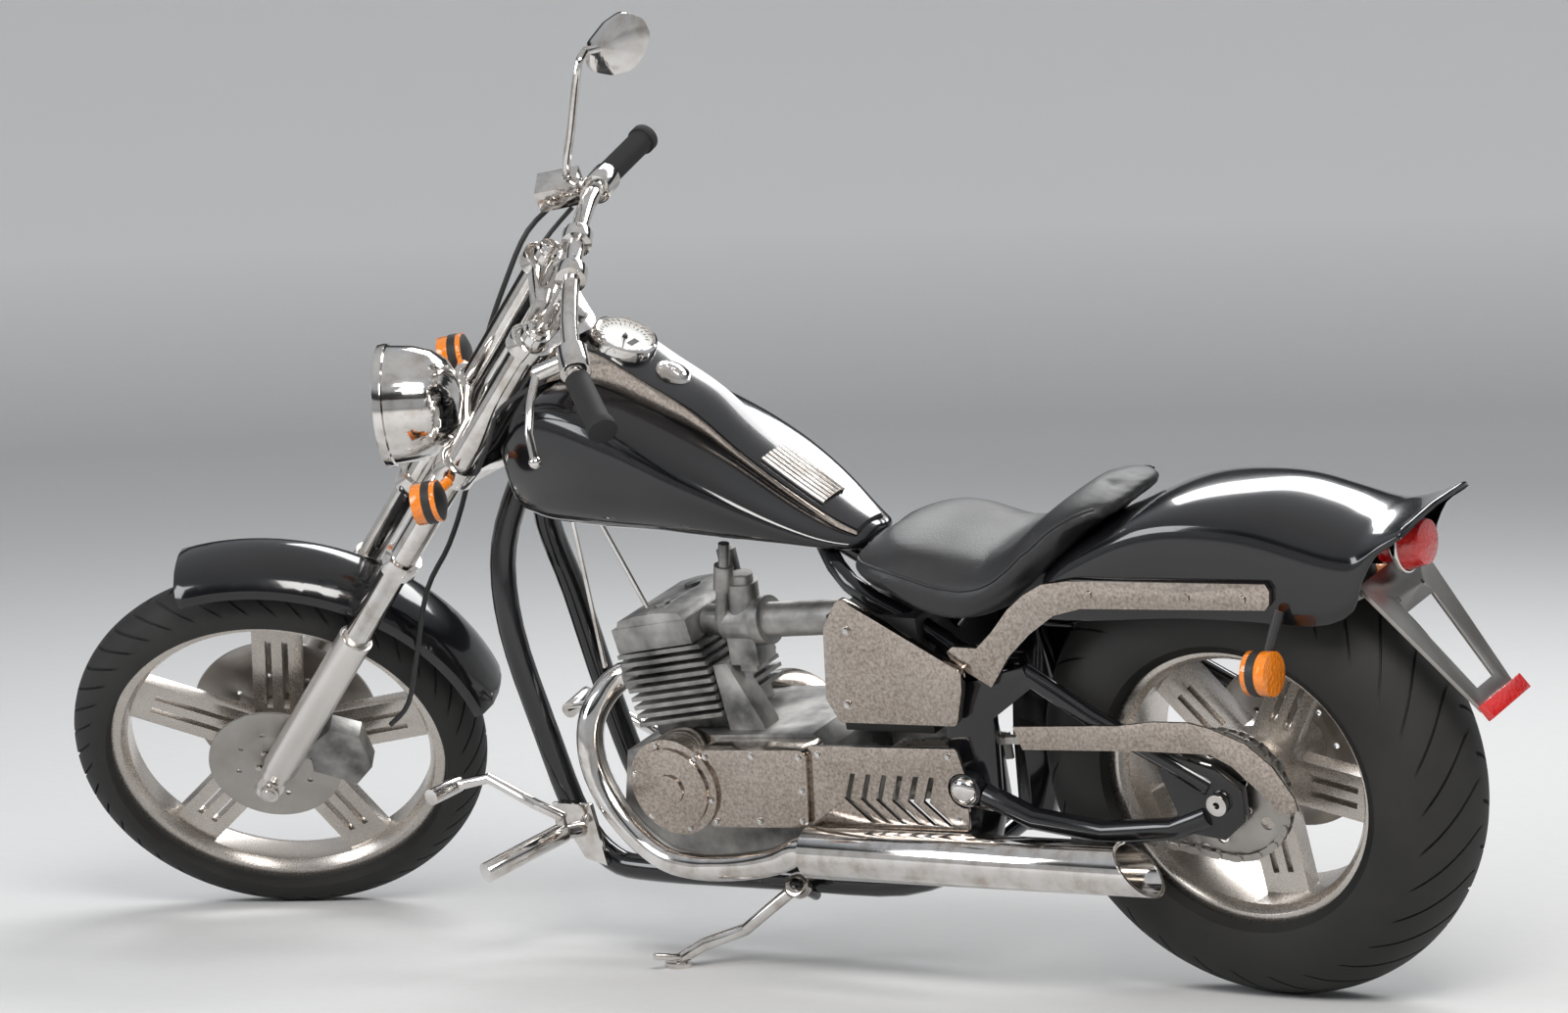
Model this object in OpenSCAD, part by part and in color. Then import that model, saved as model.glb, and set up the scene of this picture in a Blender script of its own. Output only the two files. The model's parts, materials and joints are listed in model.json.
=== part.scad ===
// Cruiser motorcycle standing on its side stand, steering turned to the left stop.
// Built in the upright bike's own frame (x forward from the rear axle, y left, z up from the ground),
// then leaned onto the stand and set level on the ground.

/* [Stance] */
// Lean to the left on the side stand
lean = 14; // [8:0.5:18]
// Steering angle to the left at rest
steer = 31.5; // [20:0.5:34]
// Distance between the wheel axles
wheelbase = 1682; // [1500:1:1900]
// Distance from the rear axle to the middle of the parked machine
middle_x = 793; // [600:1:1000]
// Sideways distance from the rear axle to the middle of the parked machine
middle_y = 140; // [50:1:250]

/* [Wheels] */
// Front tyre outer radius
front_tyre_r = 313; // [290:1:340]
// Front tyre width
front_tyre_w = 104; // [90:1:120]
// Front rim flange radius
front_rim_r = 256; // [235:1:270]
// Front rim width
front_rim_w = 66; // [56:1:76]
// Rear tyre outer radius
rear_tyre_r = 326; // [300:1:350]
// Rear tyre width
rear_tyre_w = 180; // [150:1:190]
// Rear rim flange radius
rear_rim_r = 205.5; // [190:0.5:230]
// Rear rim width
rear_rim_w = 138; // [115:1:150]
// Number of spokes on each wheel
spokes = 5; // [3:1:7]
// Front brake disc radius
front_disc_r = 140; // [110:1:150]
// Rear sprocket radius
sprocket_r = 92; // [80:1:110]

/* [Steering] */
// Rake of the steering axis from the vertical
rake = 42.5; // [35:0.5:45]
// Distance of the fork legs ahead of the steering axis
fork_offset = 55; // [40:1:70]
// Half the distance between the fork legs
leg_y = 96; // [92:1:110]
// Fork tube diameter
tube_d = 41; // [35:1:45]
// Fork slider diameter
slider_d = 52; // [46:1:54]
// Height of the lower fork clamp along the steering axis
lower_clamp_s = 668; // [620:1:700]
// Height of the upper fork clamp along the steering axis
upper_clamp_s = 925; // [900:1:960]

/* [Frame] */
// Diameter of the frame's main tubes
frame_tube_d = 38; // [30:1:45]
// Half the distance between the frame's side rails
rail_y = 82; // [70:1:95]
// Radius of the steering stem
stem_r = 16; // [13:0.5:20]
// Wall of the steering head tube
head_wall = 15; // [8:1:20]

/* [Body] */
// Half width of the fuel tank
tank_half_w = 140; // [120:1:160]
// Half width of the seat
seat_half_w = 155; // [130:1:165]
// Half width of the rear fender
fender_half_w = 120; // [112:1:130]
// Sheet thickness of the fenders
sheet = 4; // [3:0.5:6]
// Outer radius of the muffler
muffler_r = 37; // [30:1:42]

/* [Hidden] */
$fn = 48;
fit = 0.05;
axle_r = 9;
front_axle_z = front_tyre_r;
rear_axle_z = rear_tyre_r;
// Foot of the steering axis, level with the front axle along the axis
axis_x = wheelbase - fork_offset * cos(rake);
axis_z = front_axle_z - fork_offset * sin(rake);

// ---- Stance: the nose drops a little until both leaning tyres touch the ground ----
function lean_v(v) = [v[0], v[1] * cos(lean) + v[2] * sin(lean), -v[1] * sin(lean) + v[2] * cos(lean)];
function pitch_v(v, p) = [v[0] * cos(p) + v[2] * sin(p), v[1], -v[0] * sin(p) + v[2] * cos(p)];
function turn_v(v, p) = pitch_v(lean_v(v), p);
function tyre_low(c, n, r, w, p) =
    turn_v(c, p)[2] - (r - w / 2) * sqrt(1 - pow(turn_v(n, p)[2], 2)) - w / 2;
front_centre = [
    axis_x + fork_offset * cos(steer) * cos(rake),
    fork_offset * sin(steer),
    axis_z + fork_offset * cos(steer) * sin(rake)
];
front_normal = [-sin(steer) * cos(rake), cos(steer), -sin(steer) * sin(rake)];
function front_low(p) = tyre_low(front_centre, front_normal, front_tyre_r, front_tyre_w, p);
function rear_low(p) = tyre_low([0, 0, rear_axle_z], [0, 1, 0], rear_tyre_r, rear_tyre_w, p);
function level(p, n) = n == 0 ? p : level(p + (front_low(p) - rear_low(p)) / wheelbase * 180 / PI, n - 1);
pitch = level(0, 5);
lift = -rear_low(pitch);
// Height of the ground in the upright bike's frame below a point
function ground(x, y) = ((x * sin(pitch) - lift) / cos(pitch) + y * sin(lean)) / cos(lean);

module parked() {
    translate([-middle_x, -middle_y, lift]) rotate([0, pitch, 0]) rotate([-lean, 0, 0]) children();
}
// Turned with the handlebar, written for straight-ahead steering
module steered() {
    parked() translate([axis_x, 0, axis_z]) rotate(a = steer, v = [-sin(rake), 0, cos(rake)])
        translate([-axis_x, 0, -axis_z]) children();
}
// Along the steering axis: x ahead of the axis, z up it
module on_fork() {
    translate([axis_x, 0, axis_z]) rotate([0, -rake, 0]) children();
}
// A point given along the steering axis, in the upright bike's frame
function fork_at(v) = [
    axis_x + v[0] * cos(rake) - v[2] * sin(rake),
    v[1],
    axis_z + v[0] * sin(rake) + v[2] * cos(rake)
];

// ---- Helpers ----
function unit(v) = v / norm(v);
function mirrored(points) = [for (p = points) [p[0], -p[1], p[2]]];
module rod(a, b, r) {
    d = b - a;
    translate(a) rotate([0, acos(d[2] / norm(d)), atan2(d[1], d[0])]) cylinder(r = r, h = norm(d));
}
module across(r, y0, y1) {
    translate([0, y1, 0]) rotate([90, 0, 0]) cylinder(r = r, h = y1 - y0);
}
// Flat plate in the side view, from y0 to y1
module plate(points, y0, y1) {
    translate([0, y1, 0]) rotate([90, 0, 0]) linear_extrude(y1 - y0) polygon(points);
}
module rounded_plate(points, y0, y1, r) {
    translate([0, y1, 0]) rotate([90, 0, 0]) linear_extrude(y1 - y0)
        offset(r, $fn = 24) offset(-r) polygon(points);
}
function reversed(list) = [for (i = [len(list) - 1:-1:0]) list[i]];
function total(list, i = 0) = i == len(list) - 1 ? list[i] : list[i] + total(list, i + 1);
function ring_turn(ring, along) =
    total([for (k = [1:len(ring) - 2]) cross(ring[k] - ring[0], ring[k + 1] - ring[0])]) * along;
// Solid through closed rings of equal length
module loft(given) {
    turn = ring_turn(given[0], total(given[1]) - total(given[0]));
    rings = turn > 0 ? given : [for (r = given) reversed(r)];
    n = len(rings[0]);
    m = len(rings);
    sides = [
        for (i = [0:m - 2], j = [0:n - 1])
            each [
                [i * n + j, (i + 1) * n + j, (i + 1) * n + (j + 1) % n],
                [i * n + j, (i + 1) * n + (j + 1) % n, i * n + (j + 1) % n]
            ]
    ];
    start = [for (j = [0:n - 1]) j];
    end = [for (j = [n - 1:-1:0]) (m - 1) * n + j];
    polyhedron([for (r = rings) each r], concat([start], sides, [end]));
}
// Smooth curve through the points, n steps between each pair
function spline(p, n) = [
    for (i = [0:len(p) - 2], k = [0:n - 1])
        let (
            a = p[max(i - 1, 0)],
            b = p[i],
            c = p[i + 1],
            d = p[min(i + 2, len(p) - 1)],
            t = k / n
        )
        (2 * b + (c - a) * t + (2 * a - 5 * b + 4 * c - d) * t * t + (3 * b - a - 3 * c + d) * t * t * t) / 2,
    p[len(p) - 1]
];
// Round tube swept along points, r one radius or one for each point; ref is a direction that no stretch runs along
module sweep(points, r, sides = 16, ref = [0.12, 0.31, 0.94]) {
    last = len(points) - 1;
    loft([
        for (i = [0:last])
            let (
                t = unit(points[min(i + 1, last)] - points[max(i - 1, 0)]),
                u = unit(cross(t, ref)),
                v = cross(u, t)
            )
            [for (k = [0:sides - 1]) points[i] + (is_list(r) ? r[i] : r) * (u * cos(360 * k / sides) + v * sin(360 * k / sides))]
    ]);
}

// ---- Wheels ----
module wheel_place_front() {
    steered() translate([wheelbase, 0, front_axle_z]) children();
}
module wheel_place_rear() {
    parked() translate([0, 0, rear_axle_z]) children();
}
bead_depth = 13;
module tyre(r, w, rim_r, rim_w) {
    seat_r = rim_r - bead_depth + fit;
    bead_y = rim_w / 2 - 7;
    wall = 12;
    rotate([90, 0, 0]) rotate_extrude($fn = 96) {
        difference() {
            union() {
                intersection() {
                    translate([r - w / 2, 0]) circle(w / 2, $fn = 64);
                    translate([rim_r + 2, -w]) square([r, 2 * w]);
                }
                translate([seat_r, -bead_y]) square([rim_r + 6 - seat_r, 2 * bead_y]);
            }
            intersection() {
                translate([r - w / 2, 0]) circle(w / 2 - wall, $fn = 64);
                translate([rim_r + wall, -w]) square([r, 2 * w]);
            }
            translate([0, -bead_y + wall]) square([rim_r + wall + 1, 2 * (bead_y - wall)]);
        }
    }
}
// Cast rim with slotted spokes: hub to half width hub_y, spokes hub to barrel
module rim(rim_r, rim_w, hub_r, hub_y, spoke_w, spoke_t, phase) {
    seat_r = rim_r - bead_depth;
    barrel_r = seat_r - 14;
    slot_w = 9;
    difference() {
        union() {
            rotate([90, 0, 0]) rotate_extrude($fn = 96) polygon([
                [barrel_r, -rim_w / 2 + 14], [seat_r - 5, -rim_w / 2], [rim_r - 2, -rim_w / 2], [rim_r, -rim_w / 2 + 3],
                [rim_r, -rim_w / 2 + 6], [seat_r, -rim_w / 2 + 7], [seat_r, rim_w / 2 - 7], [rim_r, rim_w / 2 - 6],
                [rim_r, rim_w / 2 - 3], [rim_r - 2, rim_w / 2], [seat_r - 5, rim_w / 2], [barrel_r, rim_w / 2 - 14]
            ]);
            across(hub_r, -hub_y, hub_y);
            translate([0, spoke_t / 2, 0]) rotate([90, 0, 0]) linear_extrude(spoke_t) difference() {
                union() {
                    circle(hub_r + 14);
                    for (k = [0:spokes - 1]) rotate(phase + 360 * k / spokes)
                        translate([hub_r, -spoke_w / 2]) square([barrel_r + 3 - hub_r, spoke_w]);
                }
                for (k = [0:spokes - 1], side = [-1, 1]) rotate(phase + 360 * k / spokes)
                    translate([hub_r + 26, side * spoke_w * 0.17 - slot_w / 2])
                        square([barrel_r - hub_r - 56, slot_w]);
            }
        }
        across(axle_r + fit, -hub_y - 1, hub_y + 1);
    }
}
front_hub_y = 56;
rear_hub_y = 84;
front_phase = 108;
rear_phase = 49;
module front_rim() {
    color("silver") wheel_place_front() rim(front_rim_r, front_rim_w, 42, front_hub_y, 74, 20, front_phase);
}
module front_tyre() {
    color("dimgray") wheel_place_front() tyre(front_tyre_r, front_tyre_w, front_rim_r, front_rim_w);
}
module rear_rim() {
    color("silver") wheel_place_rear() rim(rear_rim_r, rear_rim_w, 52, rear_hub_y, 66, 30, rear_phase);
}
module rear_tyre() {
    color("dimgray") wheel_place_rear() tyre(rear_tyre_r, rear_tyre_w, rear_rim_r, rear_rim_w);
}
disc_t = 5;
module disc(r, inner, y) {
    difference() {
        translate([0, y, 0]) across(r, 0, disc_t);
        translate([0, y, 0]) across(inner, -1, disc_t + 1);
        for (k = [0:7]) rotate([0, 45 * k, 0]) translate([(r + inner) / 2, y, 0]) across(4, -1, disc_t + 1);
    }
}
module front_discs() {
    color("lightgray") wheel_place_front() {
        disc(front_disc_r * 0.72, axle_r + 6, front_hub_y);
        disc(front_disc_r, axle_r + 6, -front_hub_y - disc_t);
    }
}
sprocket_y = rear_hub_y + 14;
module rear_sprocket() {
    teeth = 34;
    color("lightgray") wheel_place_rear() difference() {
        union() {
            translate([0, sprocket_y, 0]) across(sprocket_r - 6, 0, disc_t);
            translate([0, rear_hub_y, 0]) across(46, 0, sprocket_y + disc_t - rear_hub_y);
        }
        across(axle_r + 4, 0, 200);
        for (k = [0:4]) rotate([0, 72 * k, 0]) translate([sprocket_r * 0.7, 0, 0]) across(9, 0, 200);
    }
}
module rear_disc() {
    color("lightgray") wheel_place_rear() disc(120, axle_r + 6, -rear_hub_y - disc_t);
}
axle_half = 134;
swing_y = 122;
module rear_axle() {
    color("silver") wheel_place_rear() difference() {
        union() {
            across(axle_r, -axle_half, axle_half);
            for (side = [-1, 1]) translate([0, side * (swing_y + 13), 0]) across(15, -5, 5);
            across(axle_r + 3, rear_hub_y + 22, swing_y - 9);
            across(axle_r + 5, -swing_y + 9, -rear_hub_y - 8);
        }
        across(5, swing_y - 20, 160);
    }
}

// ---- Frame ----
tube_r = frame_tube_d / 2;
head_r = stem_r + head_wall;
clamp_gap = 1;
lower_clamp_t = 30;
upper_clamp_t = 20;
head_s0 = lower_clamp_s + lower_clamp_t + clamp_gap;
head_s1 = upper_clamp_s - clamp_gap;
backbone = [fork_at([-18, 0, 815]), [960, 0, 806], [780, 0, 735], [640, 0, 662], [540, 0, 606], [430, 0, 538]];
backbone_r = 25;
subframe_r = 14;
function subframe(side) = spline([
    [640, side * 20, 658], [560, side * rail_y, 606], [450, side * rail_y, 545], [380, side * rail_y, 505],
    [300, side * rail_y, 500]
], 3);
pivot = [395, 328];
module side_rail(side, extra = 0) {
    sweep(spline([
        fork_at([-36, side * 12, 765]), fork_at([-62, side * 20, 700]), [1164, side * 56, 640],
        [1160, side * rail_y, 520], [1134, side * rail_y, 360],
        [1104, side * rail_y, 230], [1058, side * rail_y, 168], [980, side * rail_y, 155], [760, side * rail_y, 155],
        [560, side * rail_y, 158], [430, side * rail_y, 205]
    ], 4), tube_r + extra, 14);
    sweep(subframe(side), subframe_r + extra, 12);
}
module frame() {
    color("black") parked() {
        difference() {
            union() {
                on_fork() translate([0, 0, head_s0]) cylinder(r = head_r, h = head_s1 - head_s0);
                sweep(spline(backbone, 3), backbone_r, 16);
            }
            on_fork() translate([0, 0, head_s0 - 1]) cylinder(r = stem_r + fit, h = head_s1 - head_s0 + 2);
        }
        for (side = [-1, 1]) {
            difference() {
                side_rail(side);
                on_fork() translate([0, 0, head_s0 - 1]) cylinder(r = stem_r + 8, h = head_s1 - head_s0 + 2);
            }
            plate([
                [372, 520], [432, 520], [428, 400], [440, 330], [455, 180], [410, 180], [362, 300], [362, 380]
            ], side > 0 ? rail_y - 8 : -rail_y - 14, side > 0 ? rail_y + 14 : -rail_y + 8);
            translate([pivot[0], 0, pivot[1]]) across(24, side > 0 ? rail_y : -swing_y - 16,
                side > 0 ? swing_y + 16 : -rail_y);
        }
        for (x = [440, 980]) translate([x, 0, x > 900 ? 155 : 200]) across(14, -rail_y, rail_y);
        // Side stand pin on the left rail
        translate(stand_pivot) along(stand_axis) translate([0, 0, -46]) cylinder(r = stand_pin_r, h = 66);
    }
}
module swing_side(y) {
    sweep([[287, y - sign(y) * 16, 494], [180, y, 438], [64, y, 376], [14, y, 346]], 14, 14);
    sweep([[372, y, 318], [300, y, 285], [190, y, 271], [80, y, 282], [22, y, 305]], 16, 14);
    difference() {
        plate([[70, 392], [88, 372], [60, 280], [0, 272], [-34, 300], [-36, 345], [0, 372]], y - 7, y + 7);
        translate([0, 0, rear_axle_z]) across(axle_r + fit, y - 20, y + 20);
    }
    difference() {
        plate([[424, 352], [412, 470], [280, 506], [270, 478], [340, 430], [352, 320], [372, 296], [405, 300]],
            y > 0 ? y - 14 : y + 1, y > 0 ? y - 1 : y + 14);
        translate([pivot[0], 0, pivot[1]]) across(24.3, y - 30, y + 30);
    }
}
module swingarm() {
    color("black") parked() for (side = [-1, 1]) difference() {
        swing_side(side * swing_y);
        translate([0, 0, rear_axle_z]) across(axle_r + fit, side * swing_y - 30, side * swing_y + 30);
        translate([pivot[0], 0, pivot[1]]) across(24.3, side * swing_y - 30, side * swing_y + 30);
    }
}

// ---- Tank, dash and seat ----
// Columns: x, bottom, side crease height, dash foot height, crown height, half width, dash half width, dash top
tank_rows = [
    [556, 640, 650, 656, 662, 0.36, 32, 664], [600, 648, 668, 674, 680, 0.56, 38, 688], [660, 660, 708, 712, 722, 0.78, 42, 730],
    [730, 668, 754, 762, 772, 0.93, 43, 784], [800, 674, 790, 812, 822, 1.0, 46, 848], [870, 676, 822, 850, 860, 1.0, 50, 892],
    [940, 678, 848, 882, 892, 0.99, 52, 934], [1000, 680, 864, 892, 898, 0.94, 52, 938], [1060, 684, 862, 876, 882, 0.86, 50, 920],
    [1110, 704, 836, 848, 852, 0.74, 46, 876]
];
function half_ring(row, side) = let (w = tank_half_w * row[5]) [
    [row[0], side * w * 0.55, row[1]],
    [row[0], side * w * 0.90, row[1] + (row[2] - row[1]) * 0.1],
    [row[0], side * w, row[1] + (row[2] - row[1]) * 0.55],
    [row[0], side * w * 0.99, row[2]],
    [row[0], side * (w + row[6]) * 0.54, (row[2] * 0.42 + row[3] * 0.58)],
    [row[0], side * row[6], row[3]],
    [row[0], side * row[6] * 0.6, row[3] * 0.35 + row[4] * 0.65],
    [row[0], side * row[6] * 0.2, row[4]]
];
function tank_ring(row) = concat(half_ring(row, -1), reversed(half_ring(row, 1)));
tank_stations = spline(tank_rows, 3);
tank_front_gap = 46;
tunnel_gap = 3;
module fuel_tank() {
    color("black") parked() difference() {
        loft([for (r = tank_stations) tank_ring(r)]);
        dash_seats();
        on_fork() translate([-tank_front_gap, -200, 500]) cube([400, 400, 600]);
        // Tunnel over the backbone
        sweep(spline(backbone, 3), backbone_r + tunnel_gap + 1, 16);
        sweep(spline([for (p = backbone) p - [0, 0, 40]], 3), backbone_r + tunnel_gap + 1, 16);
        translate([0, 0, -2]) on_fork() translate([-70, 0, 700]) cylinder(r = 42, h = 260);
        for (side = [-1, 1]) side_rail(side, tunnel_gap);
    }
}
dash_gap = 0.8;
seat_gap = 0.3;
dash_from = 1;
dash_to = 24;
// Foot of the dash on the tank's crown
function dash_foot(row) = [
    for (k = [[-1, 0], [-0.6, 0.65], [-0.2, 1], [0.2, 1], [0.6, 0.65], [1, 0]])
        [row[0], row[6] * k[0], row[3] + (row[4] - row[3]) * k[1] + dash_gap]
];
dash_bulge = 3;
function dash_top(row) = [
    for (k = [[-1, -1], [-0.9, 0], [-0.4, 1], [0.4, 1], [0.9, 0], [1, -1]])
        [row[0], row[6] * k[0], row[7] + dash_bulge * k[1]]
];
gauge_r = 48;
gauge_h = 22;
gauge_slope = 30;
cap_r = 26;
cap_h = 12;
cap_slope = 33;
module gauge_place() {
    translate([932, 0, 921]) rotate([0, -gauge_slope, 0]) children();
}
module cap_place() {
    translate([856, 0, 877]) rotate([0, -cap_slope, 0]) children();
}
module round_pocket(r, h) {
    linear_extrude(h) polygon([for (k = [0:39]) r * [cos(9 * k + 2), sin(9 * k + 2)]]);
}
// Round pockets that the gauge and the filler cap sit in
module dash_seats() {
    gauge_place() translate([0, 0, -seat_gap]) round_pocket(gauge_r + 0.6, 80);
    cap_place() translate([0, 0, -seat_gap]) round_pocket(cap_r + 0.6, 60);
}
module tank_dash() {
    color("black") parked() difference() {
        loft([for (i = [dash_from:dash_to]) let (r = tank_stations[i]) concat(dash_foot(r), reversed(dash_top(r)))]);
        on_fork() translate([-tank_front_gap, -200, 500]) cube([400, 400, 600]);
        dash_seats();
    }
}
module speedometer() {
    color("white") parked() gauge_place() cylinder(r = gauge_r, h = gauge_h);
}
module filler_cap() {
    color("silver") parked() cap_place() {
        cylinder(r = cap_r, h = cap_h);
        translate([0, 0, cap_h]) cylinder(r = cap_r - 6, h = 3);
    }
}
rib_r = 3;
module tank_grille() {
    color("silver") parked() for (k = [-3:3])
        sweep([
            for (i = [4:8]) let (
                r = tank_stations[i],
                share = abs(k) * 0.22,
                rise = share < 0.4 ? 1 : (0.9 - share) / 0.5
            ) [r[0], k * 0.22 * r[6], r[7] + dash_bulge * rise + rib_r + dash_gap]
        ], rib_r, 8);
}
// Columns: x, bottom, top, half width
seat_rows = [
    [551, 644, 660, 0.55], [515, 626, 674, 0.88], [449, 594, 671, 1.0], [391, 570, 657, 1.02], [335, 570, 648, 1.0],
    [295, 590, 662, 0.97], [255, 622, 690, 0.92], [205, 664, 726, 0.84], [160, 702, 743, 0.70], [128, 714, 733, 0.5]
];
function seat_ring(row) = let (w = seat_half_w * row[3], b = row[1], t = row[2], h = row[2] - row[1]) [
    [row[0], -w * 0.8, b], [row[0], -w, b + h * 0.2], [row[0], -w, b + h * 0.6], [row[0], -w * 0.86, t - h * 0.1],
    [row[0], -w * 0.5, t], [row[0], 0, t + 1], [row[0], w * 0.5, t], [row[0], w * 0.86, t - h * 0.1],
    [row[0], w, b + h * 0.6], [row[0], w, b + h * 0.2], [row[0], w * 0.8, b]
];
module seat() {
    color("black") parked() difference() {
        loft([for (r = spline(seat_rows, 3)) seat_ring(r)]);
        translate([0, 0, seat_gap]) fender_body();
        sweep(spline(backbone, 3), backbone_r + 3, 16);
    }
}
// Columns: x, crown, crease height, bottom edge, half width
fender_rows = [
    [245, 640, 618, 575, 0.90], [201, 672, 645, 575, 0.96], [123, 708, 684, 580, 1.0], [66, 730, 700, 584, 1.0],
    [0, 741, 706, 586, 1.0], [-90, 741, 696, 584, 1.0], [-153, 726, 679, 580, 1.0], [-205, 711, 665, 584, 0.99],
    [-240, 706, 660, 602, 0.97], [-256, 706, 668, 640, 0.95], [-278, 707, 686, 674, 0.92], [-302, 712, 699, 690, 0.88],
    [-322, 719, 709, 702, 0.84]
];
function fender_line(row, inset) = let (w = fender_half_w * row[4] - inset) [
    [row[0], -w, row[3]], [row[0], -w - 2, row[2] - inset * 0.3], [row[0], -w * 0.86, (row[1] * 0.55 + row[2] * 0.45) - inset],
    [row[0], -w * 0.5, row[1] - 4 - inset], [row[0], 0, row[1] - inset],
    [row[0], w * 0.5, row[1] - 4 - inset], [row[0], w * 0.86, (row[1] * 0.55 + row[2] * 0.45) - inset],
    [row[0], w + 2, row[2] - inset * 0.3], [row[0], w, row[3]]
];
module fender_body() {
    loft([for (r = spline(fender_rows, 3)) fender_line(r, 0)]);
}
module rear_fender() {
    color("black") parked() loft([
        for (r = spline(fender_rows, 3)) concat(fender_line(r, 0), reversed(fender_line(r, sheet)))
    ]);
}
strut_points = [
    [-122, 642], [180, 638], [222, 632], [253, 616], [282, 594], [314, 560], [342, 536], [380, 537], [391, 529],
    [386, 519], [362, 500], [328, 480], [312, 500], [292, 526], [254, 559], [210, 588], [166, 599], [-116, 605],
    [-124, 613], [-127, 632]
];
module fender_strut(side) {
    y0 = side > 0 ? fender_half_w + 2.3 : -fender_half_w - 10.3;
    reach = fender_half_w + 1.2;
    color("silver") parked() {
        plate(strut_points, y0, y0 + 8);
        for (x = [150, 0, -85]) translate([x, 0, 620])
            across(6, side > 0 ? reach : y0 - 4, side > 0 ? y0 + 12 : -reach);
        translate([350, 0, 510]) across(9, side > 0 ? 96.4 : y0, side > 0 ? y0 + 8 : -96.4);
    }
}
module fender_strut_left() {
    fender_strut(1);
}
module fender_strut_right() {
    fender_strut(-1);
}
module tail_light() {
    color("red") parked() translate([-268, 0, 658]) rotate([0, -90, 0]) {
        cylinder(r1 = 40, r2 = 30, h = 32, $fn = 48);
        translate([0, 0, -30]) cylinder(r = 30, h = 31);
        translate([20, 0, -18]) rotate([0, 90, 0]) cylinder(r = 9, h = 23.1);
    }
}
plate_top = 88;
plate_bottom = 48;
plate_long = 222;
module on_plate() {
    translate([-236, 0, 618]) rotate([0, 36, 0]) children();
}
module plate_bracket() {
    color("gray") parked() {
        on_plate() translate([-6, 0, 0]) rotate([90, 0, 90]) linear_extrude(6) difference() {
            polygon([[-plate_top, 6], [plate_top, 6], [plate_bottom, -plate_long], [-plate_bottom, -plate_long]]);
            polygon([[-40, -60], [40, -60], [26, -194], [-26, -194]]);
            for (side = [-1, 1]) translate([side * 35, -40]) circle(3.5);
        }
        for (side = [-1, 1]) rod([-240, side * 40, 610], [-226, side * (fender_half_w - 7.3), 612], 6);
    }
}
module rear_reflector() {
    color("red") parked() on_plate() translate([-18.3, -plate_bottom - 8, -plate_long - 16])
        cube([12, 2 * plate_bottom + 16, 24]);
}
module rear_signal(side) {
    color("orange") parked() {
        translate([-121, side * 170, 532]) rotate([0, 90, 0]) translate([0, 0, -18]) cylinder(r = 30, h = 36);
        rod([-121, side * 160, 540], [-136, side * (fender_half_w + 7.3), 604], 7);
    }
}
module rear_signal_left() {
    rear_signal(1);
}
module rear_signal_right() {
    rear_signal(-1);
}
box_half = 112;
module battery_box() {
    color("black") parked() difference() {
        translate([445, -box_half, 400]) cube([145, 2 * box_half, 170]);
        sweep(spline(backbone, 3), backbone_r + 2, 16);
        for (side = [-1, 1]) sweep(subframe(side), subframe_r + 1, 12);
        for (side = [-1, 1]) plate([[360, 540], [434, 540], [430, 400], [442, 330], [360, 300]], side * 85 - 16, side * 85 + 16);
    }
}
cover_points = [[546, 608], [578, 562], [594, 457], [577, 423], [387, 425], [370, 477], [366, 505]];
module side_cover(side) {
    y0 = swing_y + 8;
    color("silver") parked() {
        rounded_plate(cover_points, side > 0 ? y0 : -y0 - 12, side > 0 ? y0 + 12 : -y0, 10);
        for (p = [[540, 560], [560, 450]]) translate([p[0], 0, p[1]])
            across(7, side > 0 ? box_half + seat_gap : -y0, side > 0 ? y0 : -box_half - seat_gap);
    }
}
module side_cover_left() {
    side_cover(1);
}
module side_cover_right() {
    side_cover(-1);
}

// ---- Engine ----
module engine_block() {
    color("silver") parked() difference() {
        union() {
            plate([
                [640, 262], [660, 180], [960, 180], [1010, 250], [985, 345], [880, 372], [660, 385], [640, 360]
            ], -block_half, block_half);
            // Casting behind the cylinder
            plate([[822, 474], [798, 478], [752, 386], [752, 370], [812, 370]], 40, 78);
            // Front lug on the frame's cross tube, rear lugs inside the pivot plates
            plate([[962, 185], [998, 220], [990, 169.3], [970, 169.3]], -30, 30);
            for (y = [-rail_y + 8.3, rail_y - 14.3]) plate([[645, 340], [645, 270], [444, 290], [444, 330]], y, y + 6);
        }
        on_cylinder() translate([-62.3, -62.3, 0]) cube([124.6, 124.6, 100]);
    }
}
block_half = 96;
cyl_tilt = 9;
port_y = 40;
port_up = 95;
port_out = 90;
cylinder_foot = [886, 0, 362];
module on_cylinder() {
    translate(cylinder_foot) rotate([0, cyl_tilt, 0]) children();
}
module cylinder_barrel() {
    fins = 9;
    color("silver") parked() on_cylinder() {
        translate([-62, -62, 0.3]) cube([124, 124, 139.4]);
        for (k = [0:fins - 1]) translate([-74, -84, 26 + 13 * k]) cube([148, 168, 6]);
        // Exhaust port
        translate([60, port_y, port_up]) rotate([0, 90, 0]) cylinder(r = header_r + 9, h = port_out - 60);
    }
}
module cylinder_head() {
    color("silver") parked() on_cylinder() {
        translate([-66, -88, 140]) cube([132, 176, 36]);
        rotate([90, 0, 0]) translate([0, 0, -84]) linear_extrude(168)
            polygon([[-60, 175], [60, 175], [54, 186], [20, 190], [-20, 190], [-54, 186]]);
        for (side = [-1, 1]) translate([0, side * 40, 160]) cylinder(r = 12, h = 34);
    }
}
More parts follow.
